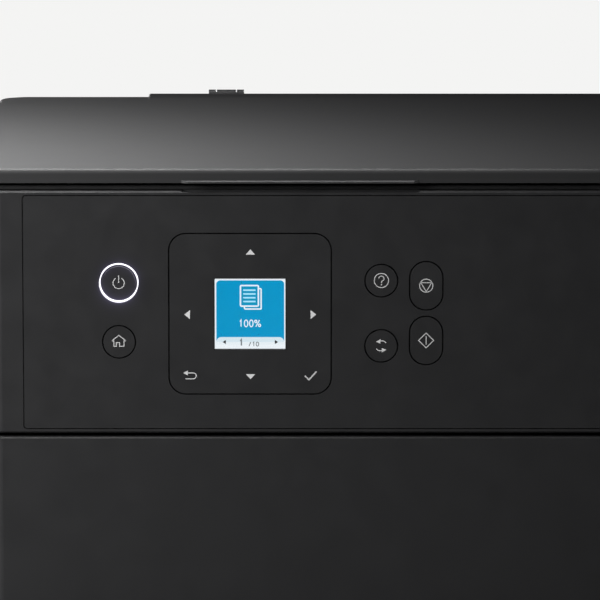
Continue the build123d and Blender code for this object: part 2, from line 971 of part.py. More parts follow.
for name, (x, z) in pill_buttons.items():
    with BuildPart() as button:
        with BuildSketch(front_plane):
            with Locations((x, z)):
                RectangleRounded(pill_width, pill_height, pill_corner)
        extrude(amount=-cap_length)
        with BuildSketch(flange_plane):
            with Locations((x, z)):
                RectangleRounded(pill_width + 2 * button_flange, pill_height, pill_corner)
        extrude(amount=-button_flange)
        bar((x, flange_front, z), backward, plunger_end - flange_front, plunger_radius)
    save(button, name)

with BuildPart() as nav_pad:
    window_hole = screen_size + 2 * screen_gap
    with BuildSketch(front_plane):
        with Locations((pad_column, button_row_middle)):
            RectangleRounded(pad_size, pad_size, pad_corner)
            Rectangle(window_hole, window_hole, mode=Mode.SUBTRACT)
    extrude(amount=-cap_length)
    with BuildSketch(flange_plane):
        with Locations((pad_column, button_row_middle)):
            RectangleRounded(pad_size + 2 * button_flange, pad_size + 2 * button_flange, pad_corner)
            Rectangle(window_hole, window_hole, mode=Mode.SUBTRACT)
    extrude(amount=-button_flange)
    plunger_reach = (pad_size + window_hole) / 4
    for step_x, step_z in ((-1, 0), (1, 0), (0, -1), (0, 1)):
        bar(
            (pad_column + step_x * plunger_reach, flange_front, button_row_middle + step_z * plunger_reach),
            backward,
            plunger_end - flange_front,
            plunger_radius,
        )
save(nav_pad, "nav_pad")

# Output tray: a tray that slides out, an extension inside it, and the flap that closes the front
flap_axis_y = face + flap_thickness + moving_gap + flap_knuckle_radius
extension_bottom = floor_top + moving_gap
extension_top = extension_bottom + extension_thickness
extension_half = extension_width / 2
tray_bottom = extension_top + moving_gap
tray_top = tray_bottom + tray_thickness
tray_half = chassis_half - foot_tab_width - tray_side_gap

with BuildPart() as output_tray:
    block(
        (-tray_half, floor_front, tray_bottom),
        (tray_half, floor_front + tray_length, tray_top),
    )
    for side in sides:
        rail = sorted((side * (extension_half + moving_gap), side * (extension_half + tray_rail_width)))
        block(
            (rail[0], floor_front, extension_bottom),
            (rail[1], floor_front + tray_length, tray_bottom),
        )
        edge = sorted((side * tray_half, side * (tray_half - tray_wall)))
        block(
            (edge[0], floor_front, extension_bottom),
            (edge[1], floor_front + tray_length, tray_top + tray_wall_height),
        )
save(output_tray, "output_tray")

lug_outer = flap_knuckle_spread - flap_knuckle_width / 2 - moving_gap
with BuildPart() as tray_extension:
    block(
        (-extension_half, floor_front, extension_bottom),
        (extension_half, floor_front + extension_length, extension_top),
    )
    for side in sides:
        lug = sorted((side * lug_outer, side * (lug_outer - flap_knuckle_width)))
        block((lug[0], flap_axis_y, extension_bottom), (lug[1], floor_front, extension_top))
        bar((lug[0], flap_axis_y, flap_axis_height), rightward, flap_knuckle_width, flap_knuckle_radius)
        bar(
            (lug[0], flap_axis_y, flap_axis_height),
            rightward,
            flap_knuckle_width,
            flap_pin_radius + running_fit,
            Mode.SUBTRACT,
        )
save(tray_extension, "tray_extension")

with BuildPart() as tray_flap:
    with BuildSketch(Plane.XY.offset(flap_bottom)) as flap_outline:
        with Locations((0, face + flap_return / 2)):
            Rectangle(2 * panel_half, flap_return)
        fillet(flap_outline.vertices().group_by(Axis.Y)[0], front_corner)
    extrude(amount=flap_top - flap_bottom)
    chamfer(tray_flap.faces().sort_by(Axis.Z)[-1].edges().sort_by(Axis.Y)[:-1], edge_bevel)
    block(
        (-panel_half + flap_thickness, face + flap_thickness, flap_bottom),
        (panel_half - flap_thickness, face + flap_return, flap_top),
        Mode.SUBTRACT,
    )
    for side in sides:
        knuckle_left = side * flap_knuckle_spread - flap_knuckle_width / 2
        block(
            (knuckle_left, face + flap_thickness, flap_axis_height - flap_knuckle_radius),
            (knuckle_left + flap_knuckle_width, flap_axis_y, flap_axis_height + flap_knuckle_radius),
        )
        bar(
            (knuckle_left, flap_axis_y, flap_axis_height),
            rightward,
            flap_knuckle_width,
            flap_knuckle_radius,
        )
        bar(
            (side * flap_knuckle_spread, flap_axis_y, flap_axis_height),
            (-side, 0, 0),
            flap_knuckle_width / 2 + moving_gap + flap_knuckle_width,
            flap_pin_radius,
        )
save(tray_flap, "tray_flap")

# Paper drive: feed and exit rollers, geared together outside the left bracket
feed_z = paper_plane - feed_radius
pinch_z = paper_plane + moving_gap + pinch_radius
star_z = paper_plane + moving_gap + star_radius
drive_radius = gear_module * drive_teeth / 2
idler_radius = gear_module * idler_teeth / 2
pinion_radius = gear_module * pinion_teeth / 2
idler_y = feed_back - drive_radius - idler_radius
exit_y = idler_y - drive_radius - idler_radius
pinion_y = feed_back + (drive_radius + pinion_radius) * cos(radians(pinion_angle))
pinion_z = feed_z + (drive_radius + pinion_radius) * sin(radians(pinion_angle))
gear_left = -chassis_half - moving_gap - gear_width
roller_half = bracket_inner - roller_end_gap


def mesh_turn(direction, turn, teeth, next_teeth):
    """Turn of a gear that meshes with another, which lies in a direction from it and has its own turn."""
    passed = (direction - turn) * teeth / 360
    return direction + 180 - (0.5 - passed) * 360 / next_teeth


def spur_gear(place, teeth, turn, bore):
    """Put a straight-flanked spur gear into the piece being built, outside the left bracket."""
    radius = gear_module * teeth / 2
    tip = radius + gear_addendum * gear_module
    root = radius - gear_dedendum * gear_module
    flank = tan(radians(gear_pressure_angle))
    half_tooth = pi * gear_module / 4 - gear_backlash / 4
    tip_half = half_tooth - gear_addendum * gear_module * flank
    root_half = half_tooth + gear_dedendum * gear_module * flank
    foot = root - gear_addendum * gear_module
    with BuildSketch(Plane(origin=(gear_left, *place), x_dir=backward, z_dir=rightward)) as gear:
        Circle(root)
        with PolarLocations(0, teeth, start_angle=turn):
            Polygon(
                (foot, -root_half),
                (root, -root_half),
                (tip, -tip_half),
                (tip, tip_half),
                (root, root_half),
                (foot, root_half),
                align=None,
            )
        Circle(bore, mode=Mode.SUBTRACT)
    extrude(gear.sketch, amount=gear_width)


feed_turn = 0.0
idler_turn = mesh_turn(180, feed_turn, drive_teeth, idler_teeth)
exit_turn = mesh_turn(180, idler_turn, idler_teeth, drive_teeth)
pinion_turn = mesh_turn(pinion_angle, feed_turn, drive_teeth, pinion_teeth)

with BuildPart() as feed_roller:
    bar((-roller_half, feed_back, feed_z), rightward, 2 * roller_half, feed_radius)
    bar((gear_left, feed_back, feed_z), rightward, chassis_half - gear_left + wall, shaft_radius)
save(feed_roller, "feed_roller")

with BuildPart() as feed_gear:
    spur_gear((feed_back, feed_z), drive_teeth, feed_turn, shaft_radius + running_fit)
save(feed_gear, "feed_gear")

star_pitch = 2 * roller_half / star_count
star_places = [-roller_half + star_pitch * (index + 0.5) for index in range(star_count)]
with BuildPart() as exit_roller:
    bar((gear_left, exit_y, feed_z), rightward, chassis_half - gear_left + wall, shaft_radius)
    for place in star_places:
        bar((place - star_pitch / 4, exit_y, feed_z), rightward, star_pitch / 2, feed_radius)
save(exit_roller, "exit_roller")

with BuildPart() as exit_gear:
    spur_gear((exit_y, feed_z), drive_teeth, exit_turn, shaft_radius + running_fit)
save(exit_gear, "exit_gear")

with BuildPart() as idler_gear:
    spur_gear((idler_y, feed_z), idler_teeth, idler_turn, idler_pin_radius + running_fit)
save(idler_gear, "idler_gear")

motor_grip = feed_motor_length / 3
with BuildPart() as motor_pinion:
    spur_gear((pinion_y, pinion_z), pinion_teeth, pinion_turn, motor_pin_radius)
    bar(
        (gear_left, pinion_y, pinion_z),
        rightward,
        -bracket_inner - gear_left + motor_grip,
        motor_pin_radius,
    )
save(motor_pinion, "motor_pinion")

with BuildPart() as feed_motor:
    bar((-bracket_inner, pinion_y, pinion_z), rightward, feed_motor_length, feed_motor_radius)
    fillet(feed_motor.edges().sort_by(Axis.X)[-1], edge_bevel)
    bar(
        (-bracket_inner, pinion_y, pinion_z),
        rightward,
        motor_grip + moving_gap,
        motor_pin_radius + running_fit,
        Mode.SUBTRACT,
    )
save(feed_motor, "feed_motor")

pinch_pitch = 2 * roller_half / pinch_count
with BuildPart() as pinch_rollers:
    bar((-chassis_half, feed_back, pinch_z), rightward, 2 * chassis_half, pinch_pin_radius)
    for index in range(pinch_count):
        middle = -roller_half + pinch_pitch * (index + 0.5)
        bar((middle - pinch_width / 2, feed_back, pinch_z), rightward, pinch_width, pinch_radius)
save(pinch_rollers, "pinch_rollers")

with BuildPart() as star_wheels:
    bar((-chassis_half, exit_y, star_z), rightward, 2 * chassis_half, star_pin_radius)
    star_corners = []
    for index in range(2 * star_points):
        reach = star_radius if index % 2 == 0 else star_radius - star_thickness
        angle = pi * index / star_points
        star_corners.append((reach * cos(angle), reach * sin(angle)))
    for place in star_places:
        star_plane = Plane(origin=(place, exit_y, star_z), x_dir=backward, z_dir=rightward)
        with BuildSketch(star_plane):
            Polygon(*star_corners, align=None)
        extrude(amount=star_thickness)
save(star_wheels, "star_wheels")

star_bar_bottom = star_z + star_radius + moving_gap
with BuildPart() as star_wheel_bar:
    block(
        (-bracket_inner, exit_y - star_bar_depth / 2, star_bar_bottom),
        (bracket_inner, exit_y + star_bar_depth / 2, star_bar_bottom + star_bar_height),
    )
save(star_wheel_bar, "star_wheel_bar")

platen_top = paper_plane - rib_drop - rib_height
platen_half = platen_depth / 2
platen_middle = (feed_back + exit_y) / 2
platen_right = carriage_home - carriage_width / 2 - platen_gap
platen_span = platen_right + bracket_inner
with BuildPart() as platen:
    block(
        (-bracket_inner, platen_middle - platen_half, platen_top - platen_height),
        (platen_right, platen_middle + platen_half, platen_top),
    )
    for edge in sides:
        rail_outer = platen_middle + edge * platen_half
        rail_inner = rail_outer - edge * 2 * rib_thickness
        rail = sorted((rail_outer, rail_inner))
        block((platen_right, rail[0], platen_top - platen_height), (bracket_inner, rail[1], platen_top))
    for index in range(rib_count):
        rib_x = -bracket_inner + platen_span * (index + 0.5) / rib_count
        block(
            (rib_x - rib_thickness / 2, platen_middle - platen_half, platen_top),
            (rib_x + rib_thickness / 2, platen_middle + platen_half, platen_top + rib_height),
        )
save(platen, "platen")

# Chassis: a folded steel plate with two brackets that carry the rollers and the guide rod
chassis_front = chassis_back - chassis_thickness
tab_top = floor_top + chassis_thickness
shaft_holes = [
    (feed_back, feed_z, shaft_radius),
    (exit_y, feed_z, shaft_radius),
    (feed_back, pinch_z, pinch_pin_radius),
    (exit_y, star_z, star_pin_radius),
    (guide_back, guide_height_up, guide_radius),
]
with BuildPart() as main_chassis:
    block((-chassis_half, chassis_front, bracket_low), (chassis_half, chassis_back, chassis_top))
    for left in (-chassis_half, bracket_inner):
        side_profile(
            [
                (chassis_back, floor_top),
                (bracket_foot_front, floor_top),
                (bracket_foot_front, bracket_low),
                (bracket_front, bracket_low),
                (bracket_front, bracket_high),
                (bracket_foot_front - wall, bracket_high),
                (bracket_foot_front, chassis_top),
                (chassis_back, chassis_top),
            ],
            left,
            left + chassis_thickness,
        )
        for hole_y, hole_z, radius in shaft_holes:
            bar((left, hole_y, hole_z), rightward, chassis_thickness, radius + running_fit, Mode.SUBTRACT)
    bar(
        (-chassis_half, pinion_y, pinion_z),
        rightward,
        chassis_thickness,
        motor_pin_radius + running_fit,
        Mode.SUBTRACT,
    )
    bar((-chassis_half, idler_y, feed_z), (-1, 0, 0), moving_gap + gear_width, idler_pin_radius)
    for side in sides:
        tab = sorted((side * chassis_half, side * (chassis_half - foot_tab_width)))
        block((tab[0], bracket_foot_front, floor_top), (tab[1], chassis_back, tab_top))
        for place in screw_places:
            bar(
                (side * screw_x, place, floor_top),
                upward,
                chassis_thickness,
                screw_radius + running_fit,
                Mode.SUBTRACT,
            )
        bar(
            (side * pulley_spread, chassis_front, belt_height),
            backward,
            chassis_thickness,
            motor_pin_radius + running_fit,
            Mode.SUBTRACT,
        )
    block(
        (-guide_paper_width / 2, chassis_front, paper_plane - wall),
        (guide_paper_width / 2, chassis_back, guide_height_up),
        Mode.SUBTRACT,
    )
save(main_chassis, "main_chassis")

with BuildPart() as case_screws:
    for side in sides:
        for place in screw_places:
            bar((side * screw_x, place, foot_height), upward, tab_top - foot_height, screw_radius)
            bar((side * screw_x, place, tab_top), upward, screw_head_height, screw_head_radius)
save(case_screws, "case_screws")

with BuildPart() as guide_rod:
    bar((-chassis_half, guide_back, guide_height_up), rightward, 2 * chassis_half, guide_radius)
save(guide_rod, "guide_rod")

# Print carriage with its cartridges, belt, pulleys and motor
carriage_half = carriage_width / 2
carriage_left = carriage_home - carriage_half
carriage_right = carriage_home + carriage_half
head_bottom = paper_plane + head_lift
belt_inner = pulley_radius + pulley_gap
belt_run_top = belt_height - belt_inner
belt_run_bottom = belt_run_top - belt_thickness
belt_front = belt_back - belt_width / 2
belt_rear = belt_back + belt_width / 2
clamp_top = belt_run_top + moving_gap + clamp_wall

with BuildPart() as carriage:
    block(
        (carriage_left, carriage_front, carriage_step),
        (carriage_right, cartridge_rear + carriage_wall, carriage_top),
    )
    block(
        (carriage_left + carriage_wall, carriage_front + carriage_wall, cartridge_floor),
        (carriage_right - carriage_wall, cartridge_rear, carriage_top),
        Mode.SUBTRACT,
    )
    block(
        (carriage_left + 2 * carriage_wall, carriage_front + 2 * carriage_wall, head_bottom),
        (carriage_right - 2 * carriage_wall, head_rear, carriage_step),
    )
    block(
        (carriage_left, cartridge_rear + carriage_wall, carriage_step),
        (carriage_right, carriage_rear, max(guide_height_up + 3 * guide_radius, clamp_top)),
    )
    bar(
        (carriage_left, guide_back, guide_height_up),
        rightward,
        carriage_width,
        guide_radius + running_fit,
        Mode.SUBTRACT,
    )
    clamp_half = clamp_width / 2
    block(
        (
            carriage_home - clamp_half,
            carriage_rear - carriage_wall,
            belt_run_bottom - moving_gap - clamp_wall,
        ),
        (
            carriage_home + clamp_half,
            belt_rear + moving_gap + clamp_wall,
            clamp_top,
        ),
    )
    block(
        (carriage_home - clamp_half, belt_front - moving_gap, belt_run_bottom - moving_gap),
        (carriage_home + clamp_half, belt_rear + moving_gap, belt_run_top + moving_gap),
        Mode.SUBTRACT,
    )
save(carriage, "carriage")

cartridge_room = carriage_width - 2 * carriage_wall
cartridge_width = (cartridge_room - (cartridge_count + 1) * cartridge_gap) / cartridge_count
with BuildPart() as ink_cartridges:
    for index in range(cartridge_count):
        left = carriage_left + carriage_wall + cartridge_gap + index * (cartridge_width + cartridge_gap)
        block(
            (left, carriage_front + carriage_wall + cartridge_gap, cartridge_floor),
            (left + cartridge_width, cartridge_rear - cartridge_gap, carriage_top + cartridge_rise),
        )
    chamfer(ink_cartridges.faces().group_by(Axis.Z)[-1].edges(), edge_bevel)
save(ink_cartridges, "ink_cartridges")

with BuildPart() as carriage_belt:
    with BuildSketch(Plane.XZ.offset(-belt_rear)):
        with Locations((0, belt_height)):
            SlotCenterToCenter(2 * pulley_spread, 2 * (belt_inner + belt_thickness))
            SlotCenterToCenter(2 * pulley_spread, 2 * belt_inner, mode=Mode.SUBTRACT)
    extrude(amount=belt_width)
save(carriage_belt, "carriage_belt")

motor_bore = carriage_motor_length / 3
for side, name, shaft_end in (
    (1, "drive_pulley", chassis_back + motor_bore),
    (-1, "idler_pulley", chassis_back),
):
    with BuildPart() as pulley:
        pulley_x = side * pulley_spread
        pulley_front = belt_front - pulley_gap - belt_thickness
        bar((pulley_x, pulley_front, belt_height), backward, shaft_end - pulley_front, motor_pin_radius)
        bar((pulley_x, pulley_front, belt_height), backward, belt_rear - pulley_front, pulley_radius)
        flange_radius = belt_inner + belt_thickness
        for flange_y in (pulley_front, belt_rear + pulley_gap):
            bar((pulley_x, flange_y, belt_height), backward, belt_thickness, flange_radius)
    save(pulley, name)

with BuildPart() as carriage_motor:
    bar(
        (pulley_spread, chassis_back, belt_height),
        backward,
        carriage_motor_length,
        carriage_motor_radius,
    )
    fillet(carriage_motor.edges().sort_by(Axis.Y)[-1], edge_bevel)
    bar(
        (pulley_spread, chassis_back, belt_height),
        backward,
        motor_bore + moving_gap,
        motor_pin_radius + running_fit,
        Mode.SUBTRACT,
    )
save(carriage_motor, "carriage_motor")

cap_top = head_bottom - cap_gap
with BuildPart() as capping_sled:
    block(
        (carriage_home - cap_width / 2, platen_middle - cap_depth / 2, cap_bottom),
        (carriage_home + cap_width / 2, platen_middle + cap_depth / 2, cap_top),
    )
    well_half = cap_width / 2 - cap_lip
    well_reach = cap_depth / 2 - cap_lip
    block(
        (carriage_home - well_half, platen_middle - well_reach, cap_top - cap_well),
        (carriage_home + well_half, platen_middle + well_reach, cap_top),
        Mode.SUBTRACT,
    )
save(capping_sled, "capping_sled")

# Electrics and the ink pad on the floor of the case
supply_rear = rear - inlet_depth
with BuildPart() as power_supply:
    block(
        (supply_right - supply_width, chassis_back + supply_gap, floor_top),
        (supply_right, supply_rear, floor_top + supply_height),
    )
    fillet(power_supply.edges().filter_by(Axis.Z), wall)
save(power_supply, "power_supply")

with BuildPart() as ac_inlet:
    block(
        (inlet_column - inlet_width / 2, supply_rear, inlet_up - inlet_height / 2),
        (inlet_column + inlet_width / 2, rear, inlet_up + inlet_height / 2),
    )
    with BuildSketch(Plane.XZ.offset(-rear)):
        with Locations((inlet_column, inlet_up)):
            SlotOverall(inlet_mouth_width, inlet_mouth_height)
    extrude(amount=inlet_mouth_depth, mode=Mode.SUBTRACT)
    for side in sides:
        bar(
            (inlet_column + side * inlet_pin_spacing / 2, rear - inlet_mouth_depth, inlet_up),
            backward,
            inlet_mouth_depth - wall,
            inlet_pin_radius,
        )
save(ac_inlet, "ac_inlet")

with BuildPart() as usb_port:
    block(
        (usb_column - usb_width / 2, rear - usb_depth, usb_up - usb_height / 2),
        (usb_column + usb_width / 2, rear, usb_up + usb_height / 2),
    )
    block(
        (usb_column - usb_mouth_width / 2, rear - usb_mouth_depth, usb_up - usb_mouth_height / 2),
        (usb_column + usb_mouth_width / 2, rear, usb_up + usb_mouth_height / 2),
        Mode.SUBTRACT,
    )
    block(
        (usb_column - usb_tongue_width / 2, rear - usb_mouth_depth, usb_up - usb_tongue_height / 2),
        (usb_column + usb_tongue_width / 2, rear - wall / 2, usb_up + usb_tongue_height / 2),
    )
save(usb_port, "usb_port")

main_board_right = inner_half - main_board_standoff
main_board_left = main_board_right - board_thickness
main_board_height = case_rim - main_board_rim_gap - main_board_up
with BuildPart() as main_board:
    block(
        (main_board_left, main_board_front, main_board_up),
        (main_board_right, main_board_front + main_board_length, main_board_up + main_board_height),
    )
    for step_y in (board_margin, main_board_length - board_margin):
        for step_z in (board_margin, main_board_height - board_margin):
            bar(
                (main_board_right, main_board_front + step_y, main_board_up + step_z),
                rightward,
                main_board_standoff,
                board_post_radius,
            )
    chip_pitch = main_board_length / chip_count
    for index in range(chip_count):
        middle = main_board_front + chip_pitch * (index + 0.5)
        chip_bottom = main_board_up + (main_board_height - chip_size) / 2
        block(
            (main_board_left - chip_height, middle - chip_size / 2, chip_bottom),
            (main_board_left, middle + chip_size / 2, chip_bottom + chip_size),
        )
save(main_board, "main_board")

with BuildPart() as waste_ink_pad:
    block(
        (ink_pad_left, ink_pad_back - ink_pad_depth, floor_top),
        (ink_pad_left + ink_pad_width, ink_pad_back, floor_top + ink_pad_height),
    )
save(waste_ink_pad, "waste_ink_pad")
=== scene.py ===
"""Dress the inkjet printer: moulded plastics, printed symbols, the lit screen and a plain studio."""

import logging
import math
from collections.abc import Sequence
from dataclasses import dataclass, field
from enum import Enum

import bmesh
import bpy
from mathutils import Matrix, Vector


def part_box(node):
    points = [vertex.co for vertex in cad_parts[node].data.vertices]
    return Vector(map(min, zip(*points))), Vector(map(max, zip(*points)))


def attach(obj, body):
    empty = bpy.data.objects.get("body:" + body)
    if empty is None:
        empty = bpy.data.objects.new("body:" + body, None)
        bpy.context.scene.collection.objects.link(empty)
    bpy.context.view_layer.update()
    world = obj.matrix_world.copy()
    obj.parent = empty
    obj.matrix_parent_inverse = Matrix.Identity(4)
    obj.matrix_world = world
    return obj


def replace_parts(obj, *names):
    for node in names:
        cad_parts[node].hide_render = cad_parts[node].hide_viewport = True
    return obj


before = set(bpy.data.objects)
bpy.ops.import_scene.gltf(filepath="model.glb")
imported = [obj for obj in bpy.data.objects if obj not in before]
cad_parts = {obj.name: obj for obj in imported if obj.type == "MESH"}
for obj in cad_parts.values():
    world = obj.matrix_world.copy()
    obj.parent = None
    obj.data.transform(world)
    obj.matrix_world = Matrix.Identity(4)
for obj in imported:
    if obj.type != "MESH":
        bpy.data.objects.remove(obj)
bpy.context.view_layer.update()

MM = 0.001
# Nearly all of a noise pattern lies between these values.
NOISE_SPAN = (0.3, 0.7)
LEAST_ROUGHNESS = 0.02
CORNER_STEPS = 8
# A mitred corner reaches out no further than a line's half width divided by this.
LEAST_MITRE = 0.35
Point = tuple[float, float]
Place = tuple[float, float, float]
Colour = tuple[float, float, float, float]
Tree = bpy.types.NodeTree
Node = bpy.types.Node
Socket = bpy.types.NodeSocket
Piece = bpy.types.Object
# An outline in millimetres, and where its two faces are in metres.
Plate = tuple[Sequence[Point], float, float]
Band = tuple[float, float, float, float, float]

logging.basicConfig(level=logging.INFO, format="%(name)s: %(message)s")
log = logging.getLogger("printer")


def linear(hex_colour: str) -> Colour:
    """Turn an sRGB hex colour into a linear one.

    Args:
        hex_colour: Six hex digits, such as "2a2a2c".

    Returns:
        Linear red, green and blue, with an alpha of 1.
    """
    parts = [int(hex_colour[i:i + 2], 16) / 255 for i in (0, 2, 4)]
    red, green, blue = (p / 12.92 if p <= 0.04045 else ((p + 0.055) / 1.055) ** 2.4 for p in parts)
    return red, green, blue, 1.0


def add_node(tree: Tree, kind: str, inputs: dict | None = None, **settings) -> Node:
    """Add a node with its settings and links.

    Args:
        tree: The node tree that takes the node.
        kind: The node's type name.
        inputs: Input name or index, to a plain value or to the socket that feeds it.
        settings: Attributes of the node itself.

    Returns:
        The new node.
    """
    node = tree.nodes.new(kind)
    for name, value in settings.items():
        setattr(node, name, value)
    for name, value in (inputs or {}).items():
        if isinstance(value, Socket):
            tree.links.new(value, node.inputs[name])
        else:
            node.inputs[name].default_value = value
    return node


def fresh_tree(owner: bpy.types.ID) -> Tree:
    """Give a material, a world or a scene an empty node tree.

    Args:
        owner: What takes the tree.

    Returns:
        The tree.
    """
    owner.use_nodes = True
    owner.node_tree.nodes.clear()
    return owner.node_tree


def mix_colours(tree: Tree, pattern: Socket, first: Colour, second: Colour) -> Socket:
    """Mix two colours by a pattern.

    Args:
        tree: The node tree that takes the mix.
        pattern: The pattern, from 0 for the first colour to 1 for the second.
        first: The first colour.
        second: The second colour.

    Returns:
        The mixed colour.
    """
    # The mix node has one set of sockets for each kind of value: these are the ones for colours.
    factor, one, other, result = 0, 6, 7, 2
    inputs = {factor: pattern, one: first, other: second}
    return add_node(tree, "ShaderNodeMix", inputs, data_type="RGBA").outputs[result]


def shaded(colour: Colour, share: float) -> Colour:
    """Make a linear colour darker or lighter.

    Args:
        colour: The linear colour.
        share: What each channel is multiplied by.

    Returns:
        The new colour, with an alpha of 1.
    """
    red, green, blue = (min(1.0, c * share) for c in colour[:3])
    return red, green, blue, 1.0


def per_metre(size_mm: float) -> float:
    """Give the texture scale whose features are about this many millimetres across."""
    return 1.0 / (size_mm * MM)


class Grain(Enum):
    """How a moulding tool breaks up a surface: the value is how many octaves its grain has."""

    SPARK = 3.0
    SATIN = 1.0


@dataclass(frozen=True)
class Surface:
    """A material's nodes while a finish is laid on it.

    A pattern is laid in the object's own space, in metres, so its scale comes from millimetres.
    """

    tree: Tree
    shader: Node
    place: Socket

    def set(self, name: str, value: float | Colour) -> None:
        """Set a plain value of the shader."""
        self.shader.inputs[name].default_value = value

    def noise(self, size_mm: float, detail: float = 4.0,
              place: Socket | None = None, **more: float) -> Socket:
        """Add a noise pattern.

        Args:
            size_mm: Size of its patches.
            detail: How many finer octaves it has.
            place: Where a point is, if not plainly on the object.
            more: Other inputs of the noise.

        Returns:
            The pattern.
        """
        return add_node(self.tree, "ShaderNodeTexNoise", {
            "Vector": self.place if place is None else place, "Scale": per_metre(size_mm),
            "Detail": detail, **more}).outputs[0]

    def blend(self, target: str, pattern: Socket, first: Colour, second: Colour) -> None:
        """Let a pattern mix two colours of the shader.

        Args:
            target: The shader's input.
            pattern: The pattern.
            first: The colour at its lower end.
            second: The colour at its upper end.
        """
        self.tree.links.new(mix_colours(self.tree, pattern, first, second), self.shader.inputs[target])

    def roughen(self, pattern: Socket, low: float, high: float, span: Point = NOISE_SPAN) -> None:
        """Let a pattern set the roughness.

        Args:
            pattern: The pattern.
            low: Roughness at its lower end.
            high: Roughness at its upper end.
            span: The pattern's values at its ends.
        """
        mapped = add_node(self.tree, "ShaderNodeMapRange", {
            "Value": pattern, "From Min": span[0], "From Max": span[1], "To Min": low, "To Max": high})
        self.tree.links.new(mapped.outputs[0], self.shader.inputs["Roughness"])

    def emboss(self, height: Socket, depth_mm: float, strength: float) -> None:
        """Turn a pattern into relief.

        Args:
            height: The pattern.
            depth_mm: How deep the relief is.
            strength: How much of it shows.
        """
        bump = add_node(self.tree, "ShaderNodeBump", {
            "Height": height, "Distance": depth_mm * MM, "Strength": strength})
        self.tree.links.new(bump.outputs[0], self.shader.inputs["Normal"])


@dataclass(frozen=True)
class Finish:
    """A real material and how its surface was made."""

    name: str
    colour: str
    roughness: float

    def material(self) -> bpy.types.Material:
        """Make the Blender material, or find it if it is made already.

        Returns:
            The material.
        """
        found = bpy.data.materials.get(self.name)
        if found:
            return found
        made = bpy.data.materials.new(self.name)
        tree = fresh_tree(made)
        shader = add_node(tree, "ShaderNodeBsdfPrincipled")
        surface = Surface(tree, shader, add_node(tree, "ShaderNodeTexCoord").outputs["Object"])
        surface.set("Base Color", linear(self.colour))
        surface.set("Roughness", self.roughness)
        self.paint(surface)
        add_node(tree, "ShaderNodeOutputMaterial", {"Surface": shader.outputs[0]})
        return made

    def paint(self, surface: Surface) -> None:
        """Add this finish's own pattern.

        Args:
            surface: The surface that takes it.
        """

    def vary(self, surface: Surface, size_mm: float, shade: float, rough: float) -> None:
        """Let colour and roughness drift a little across the surface.

        Args:
            surface: The surface.
            size_mm: Size of the patches.
            shade: How far the colour drifts, as a share of itself.
            rough: How far the roughness drifts.
        """
        patch = surface.noise(size_mm)
        base = linear(self.colour)
        surface.blend("Base Color", patch, shaded(base, 1 - shade), shaded(base, 1 + shade))
        surface.roughen(patch, max(LEAST_ROUGHNESS, self.roughness - rough), self.roughness + rough)


@dataclass(frozen=True)
class MouldedPlastic(Finish):
    """ABS or another hard plastic, moulded in a grained tool: dull, with a broad soft highlight."""

    grain: Grain = Grain.SATIN
    grain_mm: float = 0.5
    depth_mm: float = 0.02
    strength: float = 0.3
    ior: float = 1.53
    drift: float = 0.06
    gloss_drift: float = 0.03
    patch_mm: float = 9.0
    grain_break: float = 0.6

    def paint(self, surface: Surface) -> None:
        """Lay the tool's grain over a slight drift of shade."""
        surface.set("IOR", self.ior)
        self.vary(surface, self.patch_mm, self.drift, self.gloss_drift)
        pits = surface.noise(self.grain_mm, self.grain.value, Roughness=self.grain_break)
        surface.emboss(pits, self.depth_mm, self.strength)


@dataclass(frozen=True)
class PlatedSteel(Finish):
    """Cold rolled or drawn steel: bright, with fine lines along its rolling or grinding direction."""

    line_mm: float = 0.4
    stretch: Point = (40.0, 1.0)
    spangle_mm: float = 0.0
    spangle_shade: float = 0.82
    less_rough: float = 0.08
    more_rough: float = 0.1
    depth_mm: float = 0.004
    strength: float = 0.3

    def paint(self, surface: Surface) -> None:
        """Draw the rolling lines and, on zinc, its faint spangle."""
        surface.set("Metallic", 1.0)
        along, across = self.stretch
        stretched = add_node(surface.tree, "ShaderNodeMapping", {
            "Vector": surface.place, "Scale": (1 / along, across, across)}).outputs[0]
        lines = surface.noise(self.line_mm, detail=3.0, place=stretched)
        surface.roughen(lines, self.roughness - self.less_rough, self.roughness + self.more_rough)
        surface.emboss(lines, self.depth_mm, self.strength)
        if self.spangle_mm:
            flakes = add_node(surface.tree, "ShaderNodeTexVoronoi", {
                "Vector": surface.place, "Scale": per_metre(self.spangle_mm)}).outputs["Distance"]
            base = linear(self.colour)
            surface.blend("Base Color", flakes, base, shaded(base, self.spangle_shade))


@dataclass(frozen=True)
class SoftRubber(Finish):
    """Moulded or ground rubber: very dull, with a fine tooth that grips."""

    tooth_mm: float = 0.5
    depth_mm: float = 0.05
    strength: float = 0.5
    ior: float = 1.52
    patch_mm: float = 5.0
    drift: float = 0.12
    gloss_drift: float = 0.06

    def paint(self, surface: Surface) -> None:
        """Lay the tooth over a chalky drift."""
        surface.set("IOR", self.ior)
        self.vary(surface, self.patch_mm, self.drift, self.gloss_drift)
        surface.emboss(surface.noise(self.tooth_mm), self.depth_mm, self.strength)


@dataclass(frozen=True)
class ClearSheet(Finish):
    """Float glass or cast acrylic: clear and flat, with a trace of handling film."""

    ior: float = 1.52
    smear_mm: float = 40.0
    smear_rough: float = 0.06
    smear_span: Point = (0.45, 0.75)

    def paint(self, surface: Surface) -> None:
        """Make it see-through, with a faint smear in the gloss."""
        surface.set("Transmission Weight", 1.0)
        surface.set("IOR", self.ior)
        smear = surface.noise(self.smear_mm, detail=5.0)
        surface.roughen(smear, self.roughness, self.roughness + self.smear_rough, self.smear_span)


